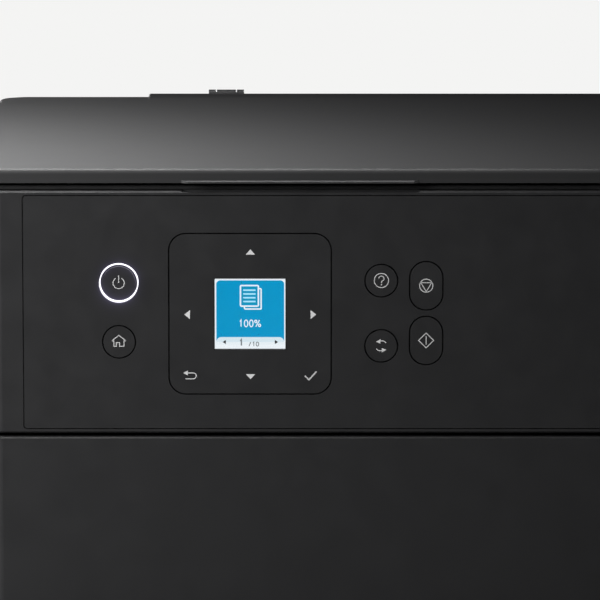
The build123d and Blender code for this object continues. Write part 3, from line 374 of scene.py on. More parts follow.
@dataclass(frozen=True)
class FibrePad(Finish):
    """Pressed felt or film-faced foam: pale and dull, with a soft uneven face."""

    fibre_mm: float = 0.7
    depth_mm: float = 0.15
    strength: float = 0.35
    sheen: float = 0.15
    twist: float = 0.6
    patch_mm: float = 14.0
    drift: float = 0.03
    gloss_drift: float = 0.05

    def paint(self, surface: Surface) -> None:
        """Lay the fibres, or the cells under the film, over a slight drift."""
        surface.set("Sheen Weight", self.sheen)
        self.vary(surface, self.patch_mm, self.drift, self.gloss_drift)
        fibres = surface.noise(self.fibre_mm, detail=6.0, Distortion=self.twist)
        surface.emboss(fibres, self.depth_mm, self.strength)


@dataclass(frozen=True)
class CircuitBoard(Finish):
    """Glass-fibre laminate under green solder mask: glossy, with copper tracks showing through."""

    bundle_mm: float = 8.8
    track_width: float = 0.05
    depth_mm: float = 0.035
    strength: float = 0.6
    track_colour: str = "2f7a48"
    dark_mask: str = "0d3a20"
    ior: float = 1.55

    def paint(self, surface: Surface) -> None:
        """Draw the tracks as a paler green relief."""
        surface.set("IOR", self.ior)
        upright = add_node(surface.tree, "ShaderNodeMapping", {
            "Vector": surface.place, "Rotation": (math.pi / 2, 0.0, 0.0)}).outputs[0]
        tracks = add_node(surface.tree, "ShaderNodeTexBrick", {
            "Vector": upright, "Scale": per_metre(self.bundle_mm), "Mortar Size": self.track_width,
            "Bias": 0.0, "Color1": linear(self.colour), "Color2": linear(self.dark_mask),
            "Mortar": linear(self.track_colour)})
        surface.tree.links.new(tracks.outputs[0], surface.shader.inputs["Base Color"])
        surface.emboss(tracks.outputs[1], self.depth_mm, self.strength)


@dataclass(frozen=True)
class LitSurface(Finish):
    """A light pipe or a lit display face: it gives off its own even light."""

    light: float = 1.0
    cell_mm: float = 6.0
    spots: float = 0.0
    unlit_colour: str = "060607"

    def paint(self, surface: Surface) -> None:
        """Give off light, a little uneven from the lamps or the display's cells behind it."""
        surface.set("Base Color", linear(self.unlit_colour))
        surface.set("Specular IOR Level", 0.0)
        surface.set("Emission Strength", self.light)
        glow = linear(self.colour)
        cells = surface.noise(self.cell_mm, detail=1.0)
        surface.blend("Emission Color", cells, shaded(glow, 1 - self.spots), glow)


@dataclass(frozen=True)
class PrintedInk(Finish):
    """Pad-printed legend ink: pale, dull and slightly uneven."""

    speckle_mm: float = 0.8
    drift: float = 0.05
    gloss_drift: float = 0.05

    def paint(self, surface: Surface) -> None:
        """Speckle the ink as a printing pad leaves it."""
        self.vary(surface, self.speckle_mm, self.drift, self.gloss_drift)


# Black ABS from a spark-eroded tool: the lid is matte and its grain fine.
LID_ABS = MouldedPlastic("moulded black ABS, spark eroded", "1e1e1f", 0.55, Grain.SPARK, 0.5,
                         drift=0.04, gloss_drift=0.004)
# The same ABS from a finer tool: the panel and the flap are smoother and look a shade lighter.
PANEL_ABS = MouldedPlastic("moulded black ABS, satin", "232324", 0.40, Grain.SATIN, 0.6, 0.02, 0.25)
BUTTON_ABS = MouldedPlastic("moulded black ABS, satin keys", "222223", 0.42, Grain.SATIN, 0.5, 0.02, 0.25)
CASE_ABS = MouldedPlastic("moulded black ABS, case grain", "1f1f20", 0.48, Grain.SPARK, 0.8, 0.05, 0.4)
GREY_ABS = MouldedPlastic("moulded dark grey ABS", "4a4b4d", 0.5, Grain.SATIN, 0.8, 0.03, 0.3)
# Natural acetal is waxy: pale, a little warm and smoother than ABS.
ACETAL = MouldedPlastic("moulded natural acetal", "e4e0d4", 0.34, Grain.SATIN, 0.6, 0.01, 0.2,
                        ior=1.48, drift=0.03)
CARTRIDGE_PP = MouldedPlastic("moulded black polypropylene", "161617", 0.22, Grain.SATIN, 1.2, 0.01, 0.2,
                              ior=1.49)
# Zinc plate shows a faint spangle; a ground rod shows fine lines along it.
ZINC_STEEL = PlatedSteel("zinc plated steel sheet", "b9bcbf", 0.34, 0.5, (30.0, 1.0), 7.0)
GROUND_STEEL = PlatedSteel("centreless ground steel", "9a9b9d", 0.5, 0.25, (60.0, 1.0))
NICKEL_BRASS = PlatedSteel("nickel plated brass", "d8d2c4", 0.25, 0.3, (8.0, 1.0))
BLACK_RUBBER = SoftRubber("moulded black rubber", "1c1c1c", 0.75, 0.6)
GREY_RUBBER = SoftRubber("ground grey rubber", "56575a", 0.8, 0.4)
FLOAT_GLASS = ClearSheet("float glass", "eef6f3", 0.01)
ACRYLIC = ClearSheet("cast acrylic", "f6fafc", 0.01, ior=1.49)
FILM_FOAM = FibrePad("film faced white foam", "e9e9e6", 0.62, 1.6, 0.08)
WHITE_FELT = FibrePad("pressed white felt", "d9d8d2", 0.95, 0.5, 0.25)
GREEN_BOARD = CircuitBoard("solder masked glass fibre", "14502c", 0.28)
# The light pipe is frosted acrylic over white lamps: cold white, brightest over each lamp.
LIGHT_PIPE = LitSurface("frosted acrylic light pipe, lit", "f6f4ff", 0.3, 1.95, spots=0.12)
LEGEND_INK = PrintedInk("pad printed grey ink", "c4c4c4", 0.6)
ARROW_INK = PrintedInk("pad printed pale ink", "d4d4d4", 0.6)
# A display is a little brighter than white paper. Its cells, in millimetres, are drawn coarser than they are.
DISPLAY_GLOSS = 0.3
DISPLAY_LIGHT = 1.06
DISPLAY_CELL = 0.35
DISPLAY_SPOTS = 0.05


class Tone(Enum):
    """The colours of the lit screen."""

    WHITE = "f8fcff"
    BLUE = "0c9acd"
    PALE_BLUE = "b9f2ff"
    FOOTER = "e0eef5"
    PALE = "f2f8fb"
    BLACK = "0a0a0c"
    GREY = "6e7478"

    def finish(self) -> LitSurface:
        """Give the lit display face in this colour."""
        return LitSurface(f"lit display, {self.name.lower()}", self.value, DISPLAY_GLOSS,
                          DISPLAY_LIGHT, DISPLAY_CELL, DISPLAY_SPOTS)


def arc(centre: Point, radius: float, start: float, end: float, steps: int) -> list[Point]:
    """Points along a circular arc.

    Args:
        centre: Middle of the circle, in millimetres.
        radius: Its radius.
        start: First angle in degrees, from the right, towards the top.
        end: Last angle in degrees.
        steps: How many straight steps stand for the arc.

    Returns:
        The points, first and last included.
    """
    turns = [math.radians(start + (end - start) * i / steps) for i in range(steps + 1)]
    return [(centre[0] + radius * math.cos(t), centre[1] + radius * math.sin(t)) for t in turns]


def circle(centre: Point, radius: float, steps: int) -> list[Point]:
    """Points round a full circle, anticlockwise from the right.

    Args:
        centre: Middle of the circle, in millimetres.
        radius: Its radius.
        steps: How many straight steps stand for the circle.

    Returns:
        The points, each once.
    """
    return arc(centre, radius, 0, 360, steps)[:-1]


def rounded(left: float, low: float, right: float, high: float, corner: float) -> list[Point]:
    """Points round a rectangle with rounded corners.

    Args:
        left: Left edge in millimetres.
        low: Lower edge.
        right: Right edge.
        high: Upper edge.
        corner: Radius of the corners.

    Returns:
        The points, anticlockwise as seen from the front.
    """
    inside = ((right - corner, high - corner, 0), (left + corner, high - corner, 90),
              (left + corner, low + corner, 180), (right - corner, low + corner, 270))
    return [p for x, z, turn in inside for p in arc((x, z), corner, turn, turn + 90, CORNER_STEPS)]


class Facing(Enum):
    """Which way a thin plate faces."""

    FRONT = "front"
    UP = "up"

    def place(self, across: float, up: float, depth: float) -> Place:
        """Put a point of an outline in millimetres, at a depth in metres, into the printer's frame."""
        if self is Facing.FRONT:
            return across * MM, depth, up * MM
        return across * MM, up * MM, depth


def add_object(name: str, data: bpy.types.ID) -> Piece:
    """Put a new object in the scene.

    Args:
        name: Its name.
        data: Its mesh, light or camera.

    Returns:
        The object.
    """
    made = bpy.data.objects.new(name, data)
    bpy.context.scene.collection.objects.link(made)
    return made


def finished_mesh(name: str, mesh: bmesh.types.BMesh) -> Piece:
    """Turn a worked mesh into an object with its faces outwards.

    Args:
        name: Name of the piece.
        mesh: The worked mesh, which is freed.

    Returns:
        The new object, linked to the scene.
    """
    bmesh.ops.recalc_face_normals(mesh, faces=mesh.faces)
    data = bpy.data.meshes.new(name)
    mesh.to_mesh(data)
    mesh.free()
    return add_object(name, data)


def solid_from(name: str, shapes: Sequence[Plate], facing: Facing = Facing.FRONT) -> Piece:
    """Make one mesh of thin plates.

    Args:
        name: Name of the piece.
        shapes: The plates.
        facing: Which way the plates face.

    Returns:
        The new object, linked to the scene.
    """
    mesh = bmesh.new()
    for outline, front, back in shapes:
        near = [mesh.verts.new(facing.place(a, u, front)) for a, u in outline]
        far = [mesh.verts.new(facing.place(a, u, back)) for a, u in outline]
        mesh.faces.new(near)
        mesh.faces.new(reversed(far))
        for i, vert in enumerate(near):
            after = (i + 1) % len(near)
            mesh.faces.new((vert, far[i], far[after], near[after]))
    return finished_mesh(name, mesh)


def fit_out(piece: Piece, finish: Finish, body: str) -> Piece:
    """Give a new piece its finish and let it ride on a body.

    Args:
        piece: The new piece.
        finish: What it is made of.
        body: The body that carries it.

    Returns:
        The same piece.
    """
    piece.data.materials.append(finish.material())
    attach(piece, body)
    log.info("%s rides on %s in %s", piece.name, body, finish.name)
    return piece


def dress(finish: Finish, *nodes: str) -> None:
    """Give CAD nodes their finish.

    Args:
        finish: What the nodes are made of.
        nodes: Names of the nodes.
    """
    for node in nodes:
        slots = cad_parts[node].data.materials
        slots.clear()
        slots.append(finish.material())
        log.info("%s is %s", node, finish.name)


@dataclass
class Symbol:
    """A printed or lit sign made of filled shapes and strokes, in millimetres round its own middle."""

    name: str
    centre: Point
    plates: list[list[Point]] = field(default_factory=list)
    thickness: float = 0.02

    def fill(self, *points: Point) -> "Symbol":
        """Add a filled shape and return the symbol."""
        self.plates.append([(self.centre[0] + x, self.centre[1] + z) for x, z in points])
        return self

    def stroke(self, points: Sequence[Point], width: float, closed: bool = False) -> "Symbol":
        """Add a line of even width with mitred corners.

        Args:
            points: Points along the middle of the line.
            width: Its width.
            closed: Whether the last point joins the first.

        Returns:
            The symbol.
        """
        count = len(points)
        sides: list[tuple[Point, Point]] = []
        for i, (x, z) in enumerate(points):
            before = points[i - 1] if i or closed else None
            after = points[(i + 1) % count] if i < count - 1 or closed else None
            ways = [Vector((b[0] - a[0], b[1] - a[1])).normalized()
                    for a, b in ((before, (x, z)), ((x, z), after)) if a and b]
            way = sum(ways, Vector((0.0, 0.0))).normalized()
            across = Vector((-way.y, way.x))
            reach = width / 2 / max(LEAST_MITRE, abs(across.dot(Vector((-ways[0].y, ways[0].x)))))
            out, up = across.x * reach, across.y * reach
            sides.append(((x + out, z + up), (x - out, z - up)))
        for i in range(count if closed else count - 1):
            (left, right), (left_on, right_on) = sides[i], sides[(i + 1) % count]
            self.fill(left, left_on, right_on, right)
        return self

    def build(self, front: float, finish: Finish, body: str, slot: str) -> Piece:
        """Make the symbol as a thin layer.

        Args:
            front: The y of its front face, in metres.
            finish: Its ink or light.
            body: The body that carries it.
            slot: Not used.

        Returns:
            The new piece.
        """
        back = front + self.thickness * MM
        piece = solid_from(self.name, [(plate, front, back) for plate in self.plates])
        return fit_out(piece, finish, body)


# Outlines of the printed signs, in millimetres round each sign's middle.
POWER_ARC = arc((0, 0), 2.05, 120, 420, 40)
POWER_BAR = ((0, 2.85), (0, 0.0))
HOME_ROOF = ((-2.6, 0.02), (0, 2.08), (2.6, 0.02))
HOME_WALLS = ((-2.6, 0.02), (-1.85, 0.02), (-1.85, -1.98), (-0.92, -1.98), (-0.92, -0.62), (0.24, -0.62),
              (0.24, -1.98), (1.87, -1.98), (1.87, 0.02), (2.6, 0.02))
HELP_RING = circle((0, 0), 2.62, 48)
HELP_HOOK = arc((0.0, 0.66), 0.98, 172, -30, 18) + [(0.1, -0.3), (0.02, -0.95)]
HELP_DOT = circle((0.02, -1.52), 0.25, 12)
SWAP_TAIL = ((-0.3, 1.74), (0.35, 1.86), (0.95, 1.76), (1.4, 1.46), (1.77, 1.05))
SWAP_HEAD = ((-1.93, 1.47), (-0.2, 2.42), (-0.28, 0.84))
STOP_RING = circle((0, 0), 2.4, 48)
STOP_TRIANGLE = ((-2.0, 1.1), (2.0, 1.1), (0, -2.2))
START_DIAMOND = ((-2.75, 0), (0, 2.75), (2.75, 0), (0, -2.75))
START_BAR = ((0, 1.6), (0, -1.55))
BACK_TAIL = [(-0.9, 0.98)] + arc((1.2, -0.1), 1.08, 90, -90, 16) + [(-1.65, -1.18)]
BACK_HEAD = ((-2.45, 0.98), (-0.78, 1.85), (-0.78, 0.12))
TICK = ((-2.1, 0.0), (-0.6, -1.5), (2.2, 1.6))
# The pad's arrows, out from where each one sits on the pad.
ARROW_UP = ((-1.75, -0.65), (1.65, -0.65), (-0.05, 1.25))
ARROW_SIDE = ((-0.95, -1.5), (-0.95, 1.85), (1.1, 0.2))
# Strokes of the plain figures, in shares of a figure's width and height, and whether each is closed.
ROUND = circle((0.5, 0.5), 0.5, 20)
SMALL_ROUND = [(x * 0.6, z * 0.38) for x, z in ROUND]
FIGURES: dict[str, list[tuple[Sequence[Point], bool]]] = {
    "1": [(((0.2, 0.75), (0.55, 1.0), (0.55, 0.0)), False)],
    "0": [(ROUND, True)],
    "/": [(((0.1, 0.0), (0.8, 1.0)), False)],
    "%": [([(x, z + 0.6) for x, z in SMALL_ROUND], True),
          ([(x + 1.05, z + 0.02) for x, z in SMALL_ROUND], True),
          (((0.3, 0.0), (1.35, 1.0)), False)],
}


@dataclass(frozen=True)
class Caption:
    """Plain figures on the screen, in millimetres right and down from its corner.

    Args:
        text: The figures.
        start: Lower left of the first one.
        size: Width and height of a figure.
        pitch: Step from one figure to the next.
        line: Width of the strokes.
    """

    text: str
    start: Point
    size: Point
    pitch: float
    line: float

    def write(self, symbol: Symbol) -> Symbol:
        """Add the figures to a symbol and return it."""
        wide, tall = self.size
        for i, figure in enumerate(self.text):
            left, low = self.start[0] + i * self.pitch, -self.start[1]
            for points, closed in FIGURES[figure]:
                symbol.stroke([(left + x * wide, low + z * tall) for x, z in points], self.line, closed)
        return symbol


@dataclass
class ScreenPicture:
    """The lit picture of the colour screen, laid colour over colour.

    Places are millimetres right and down from its corner. A band has its left and upper edges, how far
    it stays off the right edge, its lower edge and the radius of its corners.
    """

    corner: Point
    size: Point
    layer: float
    body: str
    layer_step: float = 0.03
    border: float = 0.1
    border_corner: float = 0.15
    tile: Band = (0.68, 0.72, 0.55, 24.2, 1.4)
    footer: Band = (0.68, 21.65, 0.55, 25.3, 1.8)
    footer_middle: Band = (0.6, 23.5, 0.5, 25.35, 0.1)
    footer_low: Band = (0.5, 24.5, 0.45, 25.4, 0.1)
    # The page is a band too, but with its right edge in place of the margin.
    page: Band = (9.5, 2.6, 16.05, 10.2, 0.4)
    page_line: float = 0.55
    page_behind: tuple[Point, ...] = (
        (16.35, 3.75), (16.85, 3.75), (17.05, 3.95), (17.05, 11.05), (16.85, 11.25),
        (11.2, 11.25), (10.95, 11.0), (10.95, 10.45))
    page_behind_line: float = 0.5
    text_rows: tuple[float, ...] = (4.3, 5.7, 7.1, 8.5)
    text_ends: Point = (10.5, 15.0)
    text_line: float = 0.56
    share: Caption = Caption("100%", (9.0, 17.8), (1.3, 2.5), 1.9, 0.36)
    copies: Caption = Caption("1", (9.2, 24.75), (1.1, 2.2), 1.6, 0.46)
    pages: Caption = Caption("/10", (12.5, 24.95), (0.95, 1.5), 1.35, 0.28)
    left_arrow: tuple[Point, ...] = ((2.95, 23.45), (4.15, 24.2), (4.15, 22.7))
    # The right arrow is measured in from the right edge.
    right_arrow: tuple[Point, ...] = ((2.75, 23.45), (3.95, 22.7), (3.95, 24.2))

    def build(self) -> None:
        """Lay the tile and its footer, the two pages, the figures and the arrows."""
        wide, tall = self.size
        rim = self.border
        self.lay_band("screen_white", Tone.WHITE, (rim, rim, rim, tall - rim, self.border_corner))
        self.lay_band("screen_tile", Tone.BLUE, self.tile)
        self.lay_band("screen_footer", Tone.FOOTER, self.footer)
        self.lay_band("screen_footer_middle", Tone.PALE, self.footer_middle)
        self.lay_band("screen_footer_low", Tone.WHITE, self.footer_low)

        left, top, right, low, corner = self.page
        pages = self.symbol("screen_pages")
        pages.stroke(rounded(left, -low, right, -top, corner), self.page_line, True)
        self.lay(pages.stroke([(u, -v) for u, v in self.page_behind], self.page_behind_line), Tone.WHITE)
        lines = self.symbol("screen_lines")
        for row in self.text_rows:
            lines.stroke([(end, -row) for end in self.text_ends], self.text_line)
        self.lay(lines, Tone.PALE_BLUE)
        self.lay(self.share.write(self.symbol("screen_share")), Tone.WHITE)

        arrows = self.symbol("screen_arrows").fill(*[(u, -v) for u, v in self.left_arrow])
        self.lay(arrows.fill(*[(wide - u, -v) for u, v in self.right_arrow]), Tone.BLACK)
        count = self.copies.write(self.symbol("screen_count"))
        self.lay(self.pages.write(count), Tone.GREY)

    def symbol(self, name: str) -> Symbol:
        """Start a shape of the picture."""
        return Symbol(name, self.corner)

    def lay_band(self, name: str, tone: Tone, band: Band) -> None:
        """Lay a band of one colour over the last layer.

        Args:
            name: Name of the piece.
            tone: Its colour.
            band: Its edges and corner radius.
        """
        left, top, margin, low, corner = band
        self.lay(self.symbol(name).fill(*rounded(left, -low, self.size[0] - margin, -top, corner)), tone)

    def lay(self, symbol: Symbol, tone: Tone) -> None:
        """Lay a shape of one colour over the last layer.

        Args:
            symbol: The shape.
            tone: Its colour.
        """
        self.layer -= self.layer_step * MM
        symbol.build(self.layer, tone.finish(), self.body, "screen_panel")


@dataclass
class ControlPanel:
    """The tilting front panel: keys with printed signs, the lit ring and the colour screen."""

    body: str = "panel_unit"
    line: float = 0.31
    thin_line: float = 0.3
    tick_line: float = 0.52
    power_at: Point = (-130.23, 128.1)
    home_at: Point = (-130.25, 106.74)
    help_at: Point = (-34.38, 129.05)
    swap_at: Point = (-34.4, 104.95)
    stop_at: Point = (-18.0, 127.15)
    start_at: Point = (-17.97, 106.93)
    pad_at: Point = (-82.1, 116.3)
    back_at: Point = (-104.3, 93.9)
    tick_at: Point = (-60.2, 93.85)
    # How far the pad's arrows sit from its middle, sideways and up or down.
    right_and_up: Point = (22.85, 22.95)
    left_and_down: Point = (23.1, 22.5)
    print_lift: float = 0.03
    screen_gap: float = 0.0875
    pane_corner: float = 0.2
    window_thickness: float = 0.6
    tray_depth: float = 2.0
    backing_inset: float = 1.0
    backing_corner: float = 0.4
    ring_gap: float = 0.16
    ring_width: float = 0.36
    ring_shoulder: float = 0.15
    ring_shoulder_drop: float = 0.1
    ring_proud: float = 0.03
    ring_steps: int = 96
    print_front: float = field(init=False, default=0.0)

    def build(self) -> None:
        """Make the panel's printed signs, screen and light ring."""
        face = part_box("face_plate")[0].y
        self.print_front = face - self.print_lift * MM
        self.key_signs()
        self.pad_signs()
        self.screen()
        self.light_ring()

    def sign(self, symbol: Symbol, body: str, finish: Finish = LEGEND_INK) -> None:
        """Print a sign on a key.

        Args:
            symbol: The sign.
            body: The key that carries it.
            finish: The ink.
        """
        symbol.build(self.print_front, finish, body, "panel_black")

    def key_signs(self) -> None:
        """Print the signs of the round and pill keys."""
        power = Symbol("power_sign", self.power_at).stroke(POWER_ARC, self.line)
        self.sign(power.stroke(POWER_BAR, self.line), "power_button")
        home = Symbol("home_sign", self.home_at).stroke(HOME_ROOF, self.line)
        self.sign(home.stroke(HOME_WALLS, self.line), "home_button")
        query = Symbol("help_sign", self.help_at).stroke(HELP_RING, self.line, True)
        self.sign(query.stroke(HELP_HOOK, self.line).fill(*HELP_DOT), "help_button")
        swap = Symbol("swap_sign", self.swap_at)
        for turn in (1, -1):
            swap.stroke([(turn * x, turn * z) for x, z in SWAP_TAIL], self.thin_line)
            swap.fill(*[(turn * x, turn * z) for x, z in SWAP_HEAD])
        self.sign(swap, "swap_button", ARROW_INK)
        stop = Symbol("stop_sign", self.stop_at).stroke(STOP_RING, self.line, True)
        self.sign(stop.stroke(STOP_TRIANGLE, self.thin_line, True), "stop_button")
        start = Symbol("start_sign", self.start_at).stroke(START_DIAMOND, self.line, True)
        self.sign(start.stroke(START_BAR, self.line), "start_button")

    def pad_signs(self) -> None:
        """Print the arrows of the four-way pad, and the signs in its two lower corners."""
        arrows = Symbol("pad_arrows", self.pad_at)
        for turn, (far, high) in ((1, self.right_and_up), (-1, self.left_and_down)):
            arrows.fill(*[(x, turn * (high + z)) for x, z in ARROW_UP])
            arrows.fill(*[(turn * (far + x), z) for x, z in ARROW_SIDE])
        self.sign(arrows, "nav_pad", ARROW_INK)
        back = Symbol("pad_back_sign", self.back_at).stroke(BACK_TAIL, self.line)
        self.sign(back.fill(*BACK_HEAD), "nav_pad", ARROW_INK)
        tick = Symbol("pad_tick_sign", self.tick_at)
        self.sign(tick.stroke(TICK, self.tick_line), "nav_pad")

    def screen(self) -> None:
        """Make the display module, its lit picture and the clear window over it."""
        low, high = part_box("lcd_window")
        left, right, bottom, top = low.x / MM, high.x / MM, low.z / MM, high.z / MM
        gap, inset = self.screen_gap, self.backing_inset
        pane = rounded(left + gap, bottom + gap, right - gap, top - gap, self.pane_corner)
        window = solid_from("screen_window", [(pane, low.y, low.y + self.window_thickness * MM)])
        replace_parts(fit_out(window, ACRYLIC, self.body), "lcd_window")

        module_low, module_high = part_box("lcd_module")
        tray_back = module_low.y + self.tray_depth * MM
        backing = rounded(left + inset, bottom + inset, right - inset, top - inset, self.backing_corner)
        module = solid_from("screen_module", [
            (pane, module_low.y, tray_back), (backing, tray_back, module_high.y)])
        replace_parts(fit_out(module, ZINC_STEEL, self.body), "lcd_module")
        ScreenPicture((left, top), (right - left, top - bottom), module_low.y, self.body).build()

    def light_ring(self) -> None:
        """Make the domed light pipe round the power key."""
        low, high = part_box("power_light_ring")
        middle = (low + high) / 2
        outer = (high.x - low.x) / 2 - self.ring_gap * MM
        inner = outer - self.ring_width * MM
        side, top = low.y + self.ring_shoulder_drop * MM, low.y - self.ring_proud * MM
        shoulder = self.ring_shoulder * MM
        profile = [(inner, high.y), (inner, side), (inner + shoulder, top),
                   (outer - shoulder, top), (outer, side), (outer, high.y)]
        mesh = bmesh.new()
        rows = []
        for i in range(self.ring_steps):
            turn = i * math.tau / self.ring_steps
            rows.append([mesh.verts.new((middle.x + r * math.cos(turn), y, middle.z + r * math.sin(turn)))
                         for r, y in profile])
        for i, row in enumerate(rows):
            after = rows[(i + 1) % self.ring_steps]
            for j in range(len(profile)):
                k = (j + 1) % len(profile)
                mesh.faces.new((row[j], row[k], after[k], after[j]))
        ring = finished_mesh("light_ring", mesh)
        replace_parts(fit_out(ring, LIGHT_PIPE, self.body), "power_light_ring")

    def dress(self) -> None:
        """Give the panel's shells, keys and board their finishes."""
        dress(PANEL_ABS, "panel_housing", "face_plate")
        dress(CASE_ABS, "panel_back_cover")
        dress(BUTTON_ABS, "power_button", "home_button", "help_button", "swap_button",
              "stop_button", "start_button", "nav_pad")
        dress(GREEN_BOARD, "panel_board")


@dataclass
class LidAndScanner:
    """The flatbed scanner: its lid with the foam mat, the bezel and glass, and the reading bar."""

    mat_corner: float = 3.0
    corner_loss: float = 2.0
    least_corner: float = 0.4
    crown: float = 0.35
    glue_inset: float = 0.5
    glue_height: float = 0.4
    # Rings of the skirt: inset, and height over the crown.
    skirt_rings: tuple[Point, ...] = ((0.0, 1.2), (0.3, 0.54), (1.0, 0.1))
    # Rings of the lower face: inset, and height as a share of the crown.
    face_rings: tuple[Point, ...] = ((4.0, 0.7), (14.0, 0.3), (40.0, 0.08), (80.0, 0.0))

    def build(self) -> None:
        """Make the foam mat under the lid: glued flat on top, its lower face a little crowned."""
        low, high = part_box("lid_pad")
        rings = [(self.glue_inset, high.z), (0.0, high.z - self.glue_height * MM)]
        rings += [(inset, low.z + (self.crown + rise) * MM) for inset, rise in self.skirt_rings]
        rings += [(inset, low.z + share * self.crown * MM) for inset, share in self.face_rings]
        mesh = bmesh.new()
        loops = []
        for inset, z in rings:
            corner = max(self.least_corner, self.mat_corner - min(inset, self.corner_loss))
            outline = rounded(low.x / MM + inset, low.y / MM + inset,
                              high.x / MM - inset, high.y / MM - inset, corner)
            loops.append([mesh.verts.new((x * MM, y * MM, z)) for x, y in outline])
        for outer, inner in zip(loops, loops[1:]):
            for i in range(len(outer)):
                j = (i + 1) % len(outer)
                mesh.faces.new((outer[i], outer[j], inner[j], inner[i]))
        mesh.faces.new(loops[0])
        mesh.faces.new(reversed(loops[-1]))
        mat = finished_mesh("foam_mat", mesh)
        for face in mat.data.polygons:
            face.use_smooth = True
        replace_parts(fit_out(mat, FILM_FOAM, "lid_unit"), "lid_pad")

    def dress(self) -> None:
        """Give the lid, bezel, glass and reading bar their finishes."""
        dress(LID_ABS, "lid", "feeder_cover")
        dress(CASE_ABS, "scanner_case", "scanner_bezel")
        dress(FLOAT_GLASS, "scanner_glass")
        dress(GROUND_STEEL, "scan_rod")
        dress(GREY_ABS, "scan_carriage")


@dataclass
class PrintEngine:
    """The paper drive and the print carriage inside the case."""

    label_inset: float = 1.6
    label_front: float = 6.0
    label_back: float = 4.0
    label_corner: float = 1.0
    label_sink: float = 0.01
    label_thickness: float = 0.08
    label_gloss: float = 0.35
    label_colours: tuple[str, ...] = ("2b2b2d", "e8c620", "1c1c1e", "c22670", "1a86c2")

    def build(self) -> None:
        """Stick a plain coloured label on each ink cartridge."""
        low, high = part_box("ink_cartridges")
        pitch = (high.x - low.x) / MM / len(self.label_colours)
        for i, colour in enumerate(self.label_colours):
            left = low.x / MM + i * pitch + self.label_inset
            outline = rounded(left, low.y / MM + self.label_front, left + pitch - 2 * self.label_inset,
                              high.y / MM - self.label_back, self.label_corner)
            label = solid_from(f"cartridge_label_{i + 1}", [
                (outline, high.z - self.label_sink * MM, high.z + self.label_thickness * MM)], Facing.UP)
            film = PrintedInk(f"printed label film, colour {i + 1}", colour, self.label_gloss)
            fit_out(label, film, "carriage")

    def dress(self) -> None:
        """Give the rollers, gears, carriage and chassis their finishes."""
        dress(ZINC_STEEL, "main_chassis", "carriage_motor", "feed_motor", "case_screws", "star_wheels")
        dress(GROUND_STEEL, "guide_rod")
        dress(GREY_ABS, "platen", "star_wheel_bar", "carriage", "capping_sled",
              "edge_guide_left", "edge_guide_right")
        dress(ACETAL, "drive_pulley", "idler_pulley", "feed_gear", "exit_gear", "idler_gear", "motor_pinion")
        dress(GREY_RUBBER, "feed_roller", "exit_roller", "pinch_rollers", "pick_roller")
        dress(BLACK_RUBBER, "carriage_belt")
        dress(CARTRIDGE_PP, "ink_cartridges")
        dress(WHITE_FELT, "waste_ink_pad")


@dataclass
class CaseShell:
    """The outer shell: lower case, feeder, trays, covers and feet."""

    def dress(self) -> None:
        """Give the shell its finishes."""
        dress(CASE_ABS, "lower_case", "feeder_housing", "rear_cover", "output_tray",
              "tray_extension", "paper_support")
        dress(PANEL_ABS, "tray_flap")
        dress(BLACK_RUBBER, "rubber_feet")


@dataclass
class Electrics:
    """The boards, the supply, the mains inlet and the data port."""

    inlet_depth: float = 10.05
    pin_radius: float = 1.24
    pin_spread: float = 4.3
    pin_length: float = 7.4
    pin_tip: float = 0.5
    pin_taper: float = 0.4
    pin_steps: int = 28
    tongue_size: Point = (5.7, 3.1)
    tongue_corner: float = 0.4
    tongue_root: float = 9.0
    tongue_setback: float = 1.6

    def build(self) -> None:
        """Make the bright pins of the mains inlet and the data port's tongue."""
        low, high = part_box("ac_inlet")
        middle, level = (low.x + high.x) / 2 / MM, (low.z + high.z) / 2 / MM
        floor = high.y - self.inlet_depth * MM
        tip, end = floor + (self.pin_length - self.pin_tip) * MM, floor + self.pin_length * MM
        shapes = []
        for side in (-1, 1):
            centre = (middle + side * self.pin_spread, level)
            shapes.append((circle(centre, self.pin_radius, self.pin_steps), floor, tip))
            shapes.append((circle(centre, self.pin_radius - self.pin_taper, self.pin_steps), tip, end))
        fit_out(solid_from("inlet_pins", shapes), NICKEL_BRASS, "base")

        low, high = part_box("usb_port")
        middle, level = (low.x + high.x) / 2 / MM, (low.z + high.z) / 2 / MM
        wide, tall = self.tongue_size
        outline = rounded(middle - wide / 2, level - tall / 2, middle + wide / 2, level + tall / 2,
                          self.tongue_corner)
        tongue = solid_from("port_tongue", [
            (outline, high.y - self.tongue_root * MM, high.y - self.tongue_setback * MM)])
        fit_out(tongue, ACETAL, "base")

    def dress(self) -> None:
        """Give the boards and sockets their finishes."""
        dress(GREEN_BOARD, "main_board")
        dress(GREY_ABS, "power_supply")
        dress(CASE_ABS, "ac_inlet")
        dress(ZINC_STEEL, "usb_port")


@dataclass(frozen=True)
class SoftLight:
    """A soft box of the studio.

    Args:
        name: Name of the light.
        place: Where it stands, in metres.
        aim: The point that it faces.
        size: Width and height in metres.
        power: Light in watts.
        spread: Angle of its beam in degrees, narrower behind a grid.
    """

    name: str
    place: Place
    aim: Place
    size: Point
    power: float
    spread: float = 180.0

    def hang(self) -> None:
        """Put the light in the scene, out of the camera's own sight."""
        lamp = bpy.data.lights.new(self.name, "AREA")
        lamp.shape = "RECTANGLE"
        lamp.size, lamp.size_y = self.size
        lamp.energy = self.power
        lamp.spread = math.radians(self.spread)
        box = add_object(self.name, lamp)
        box.location = self.place
        box.rotation_euler = (Vector(self.aim) - Vector(self.place)).to_track_quat("-Z", "Y").to_euler()
        box.visible_camera = False


# The place on the lid that its lights face.
LID_SPOT: Place = (-0.2, -0.16, 0.17)


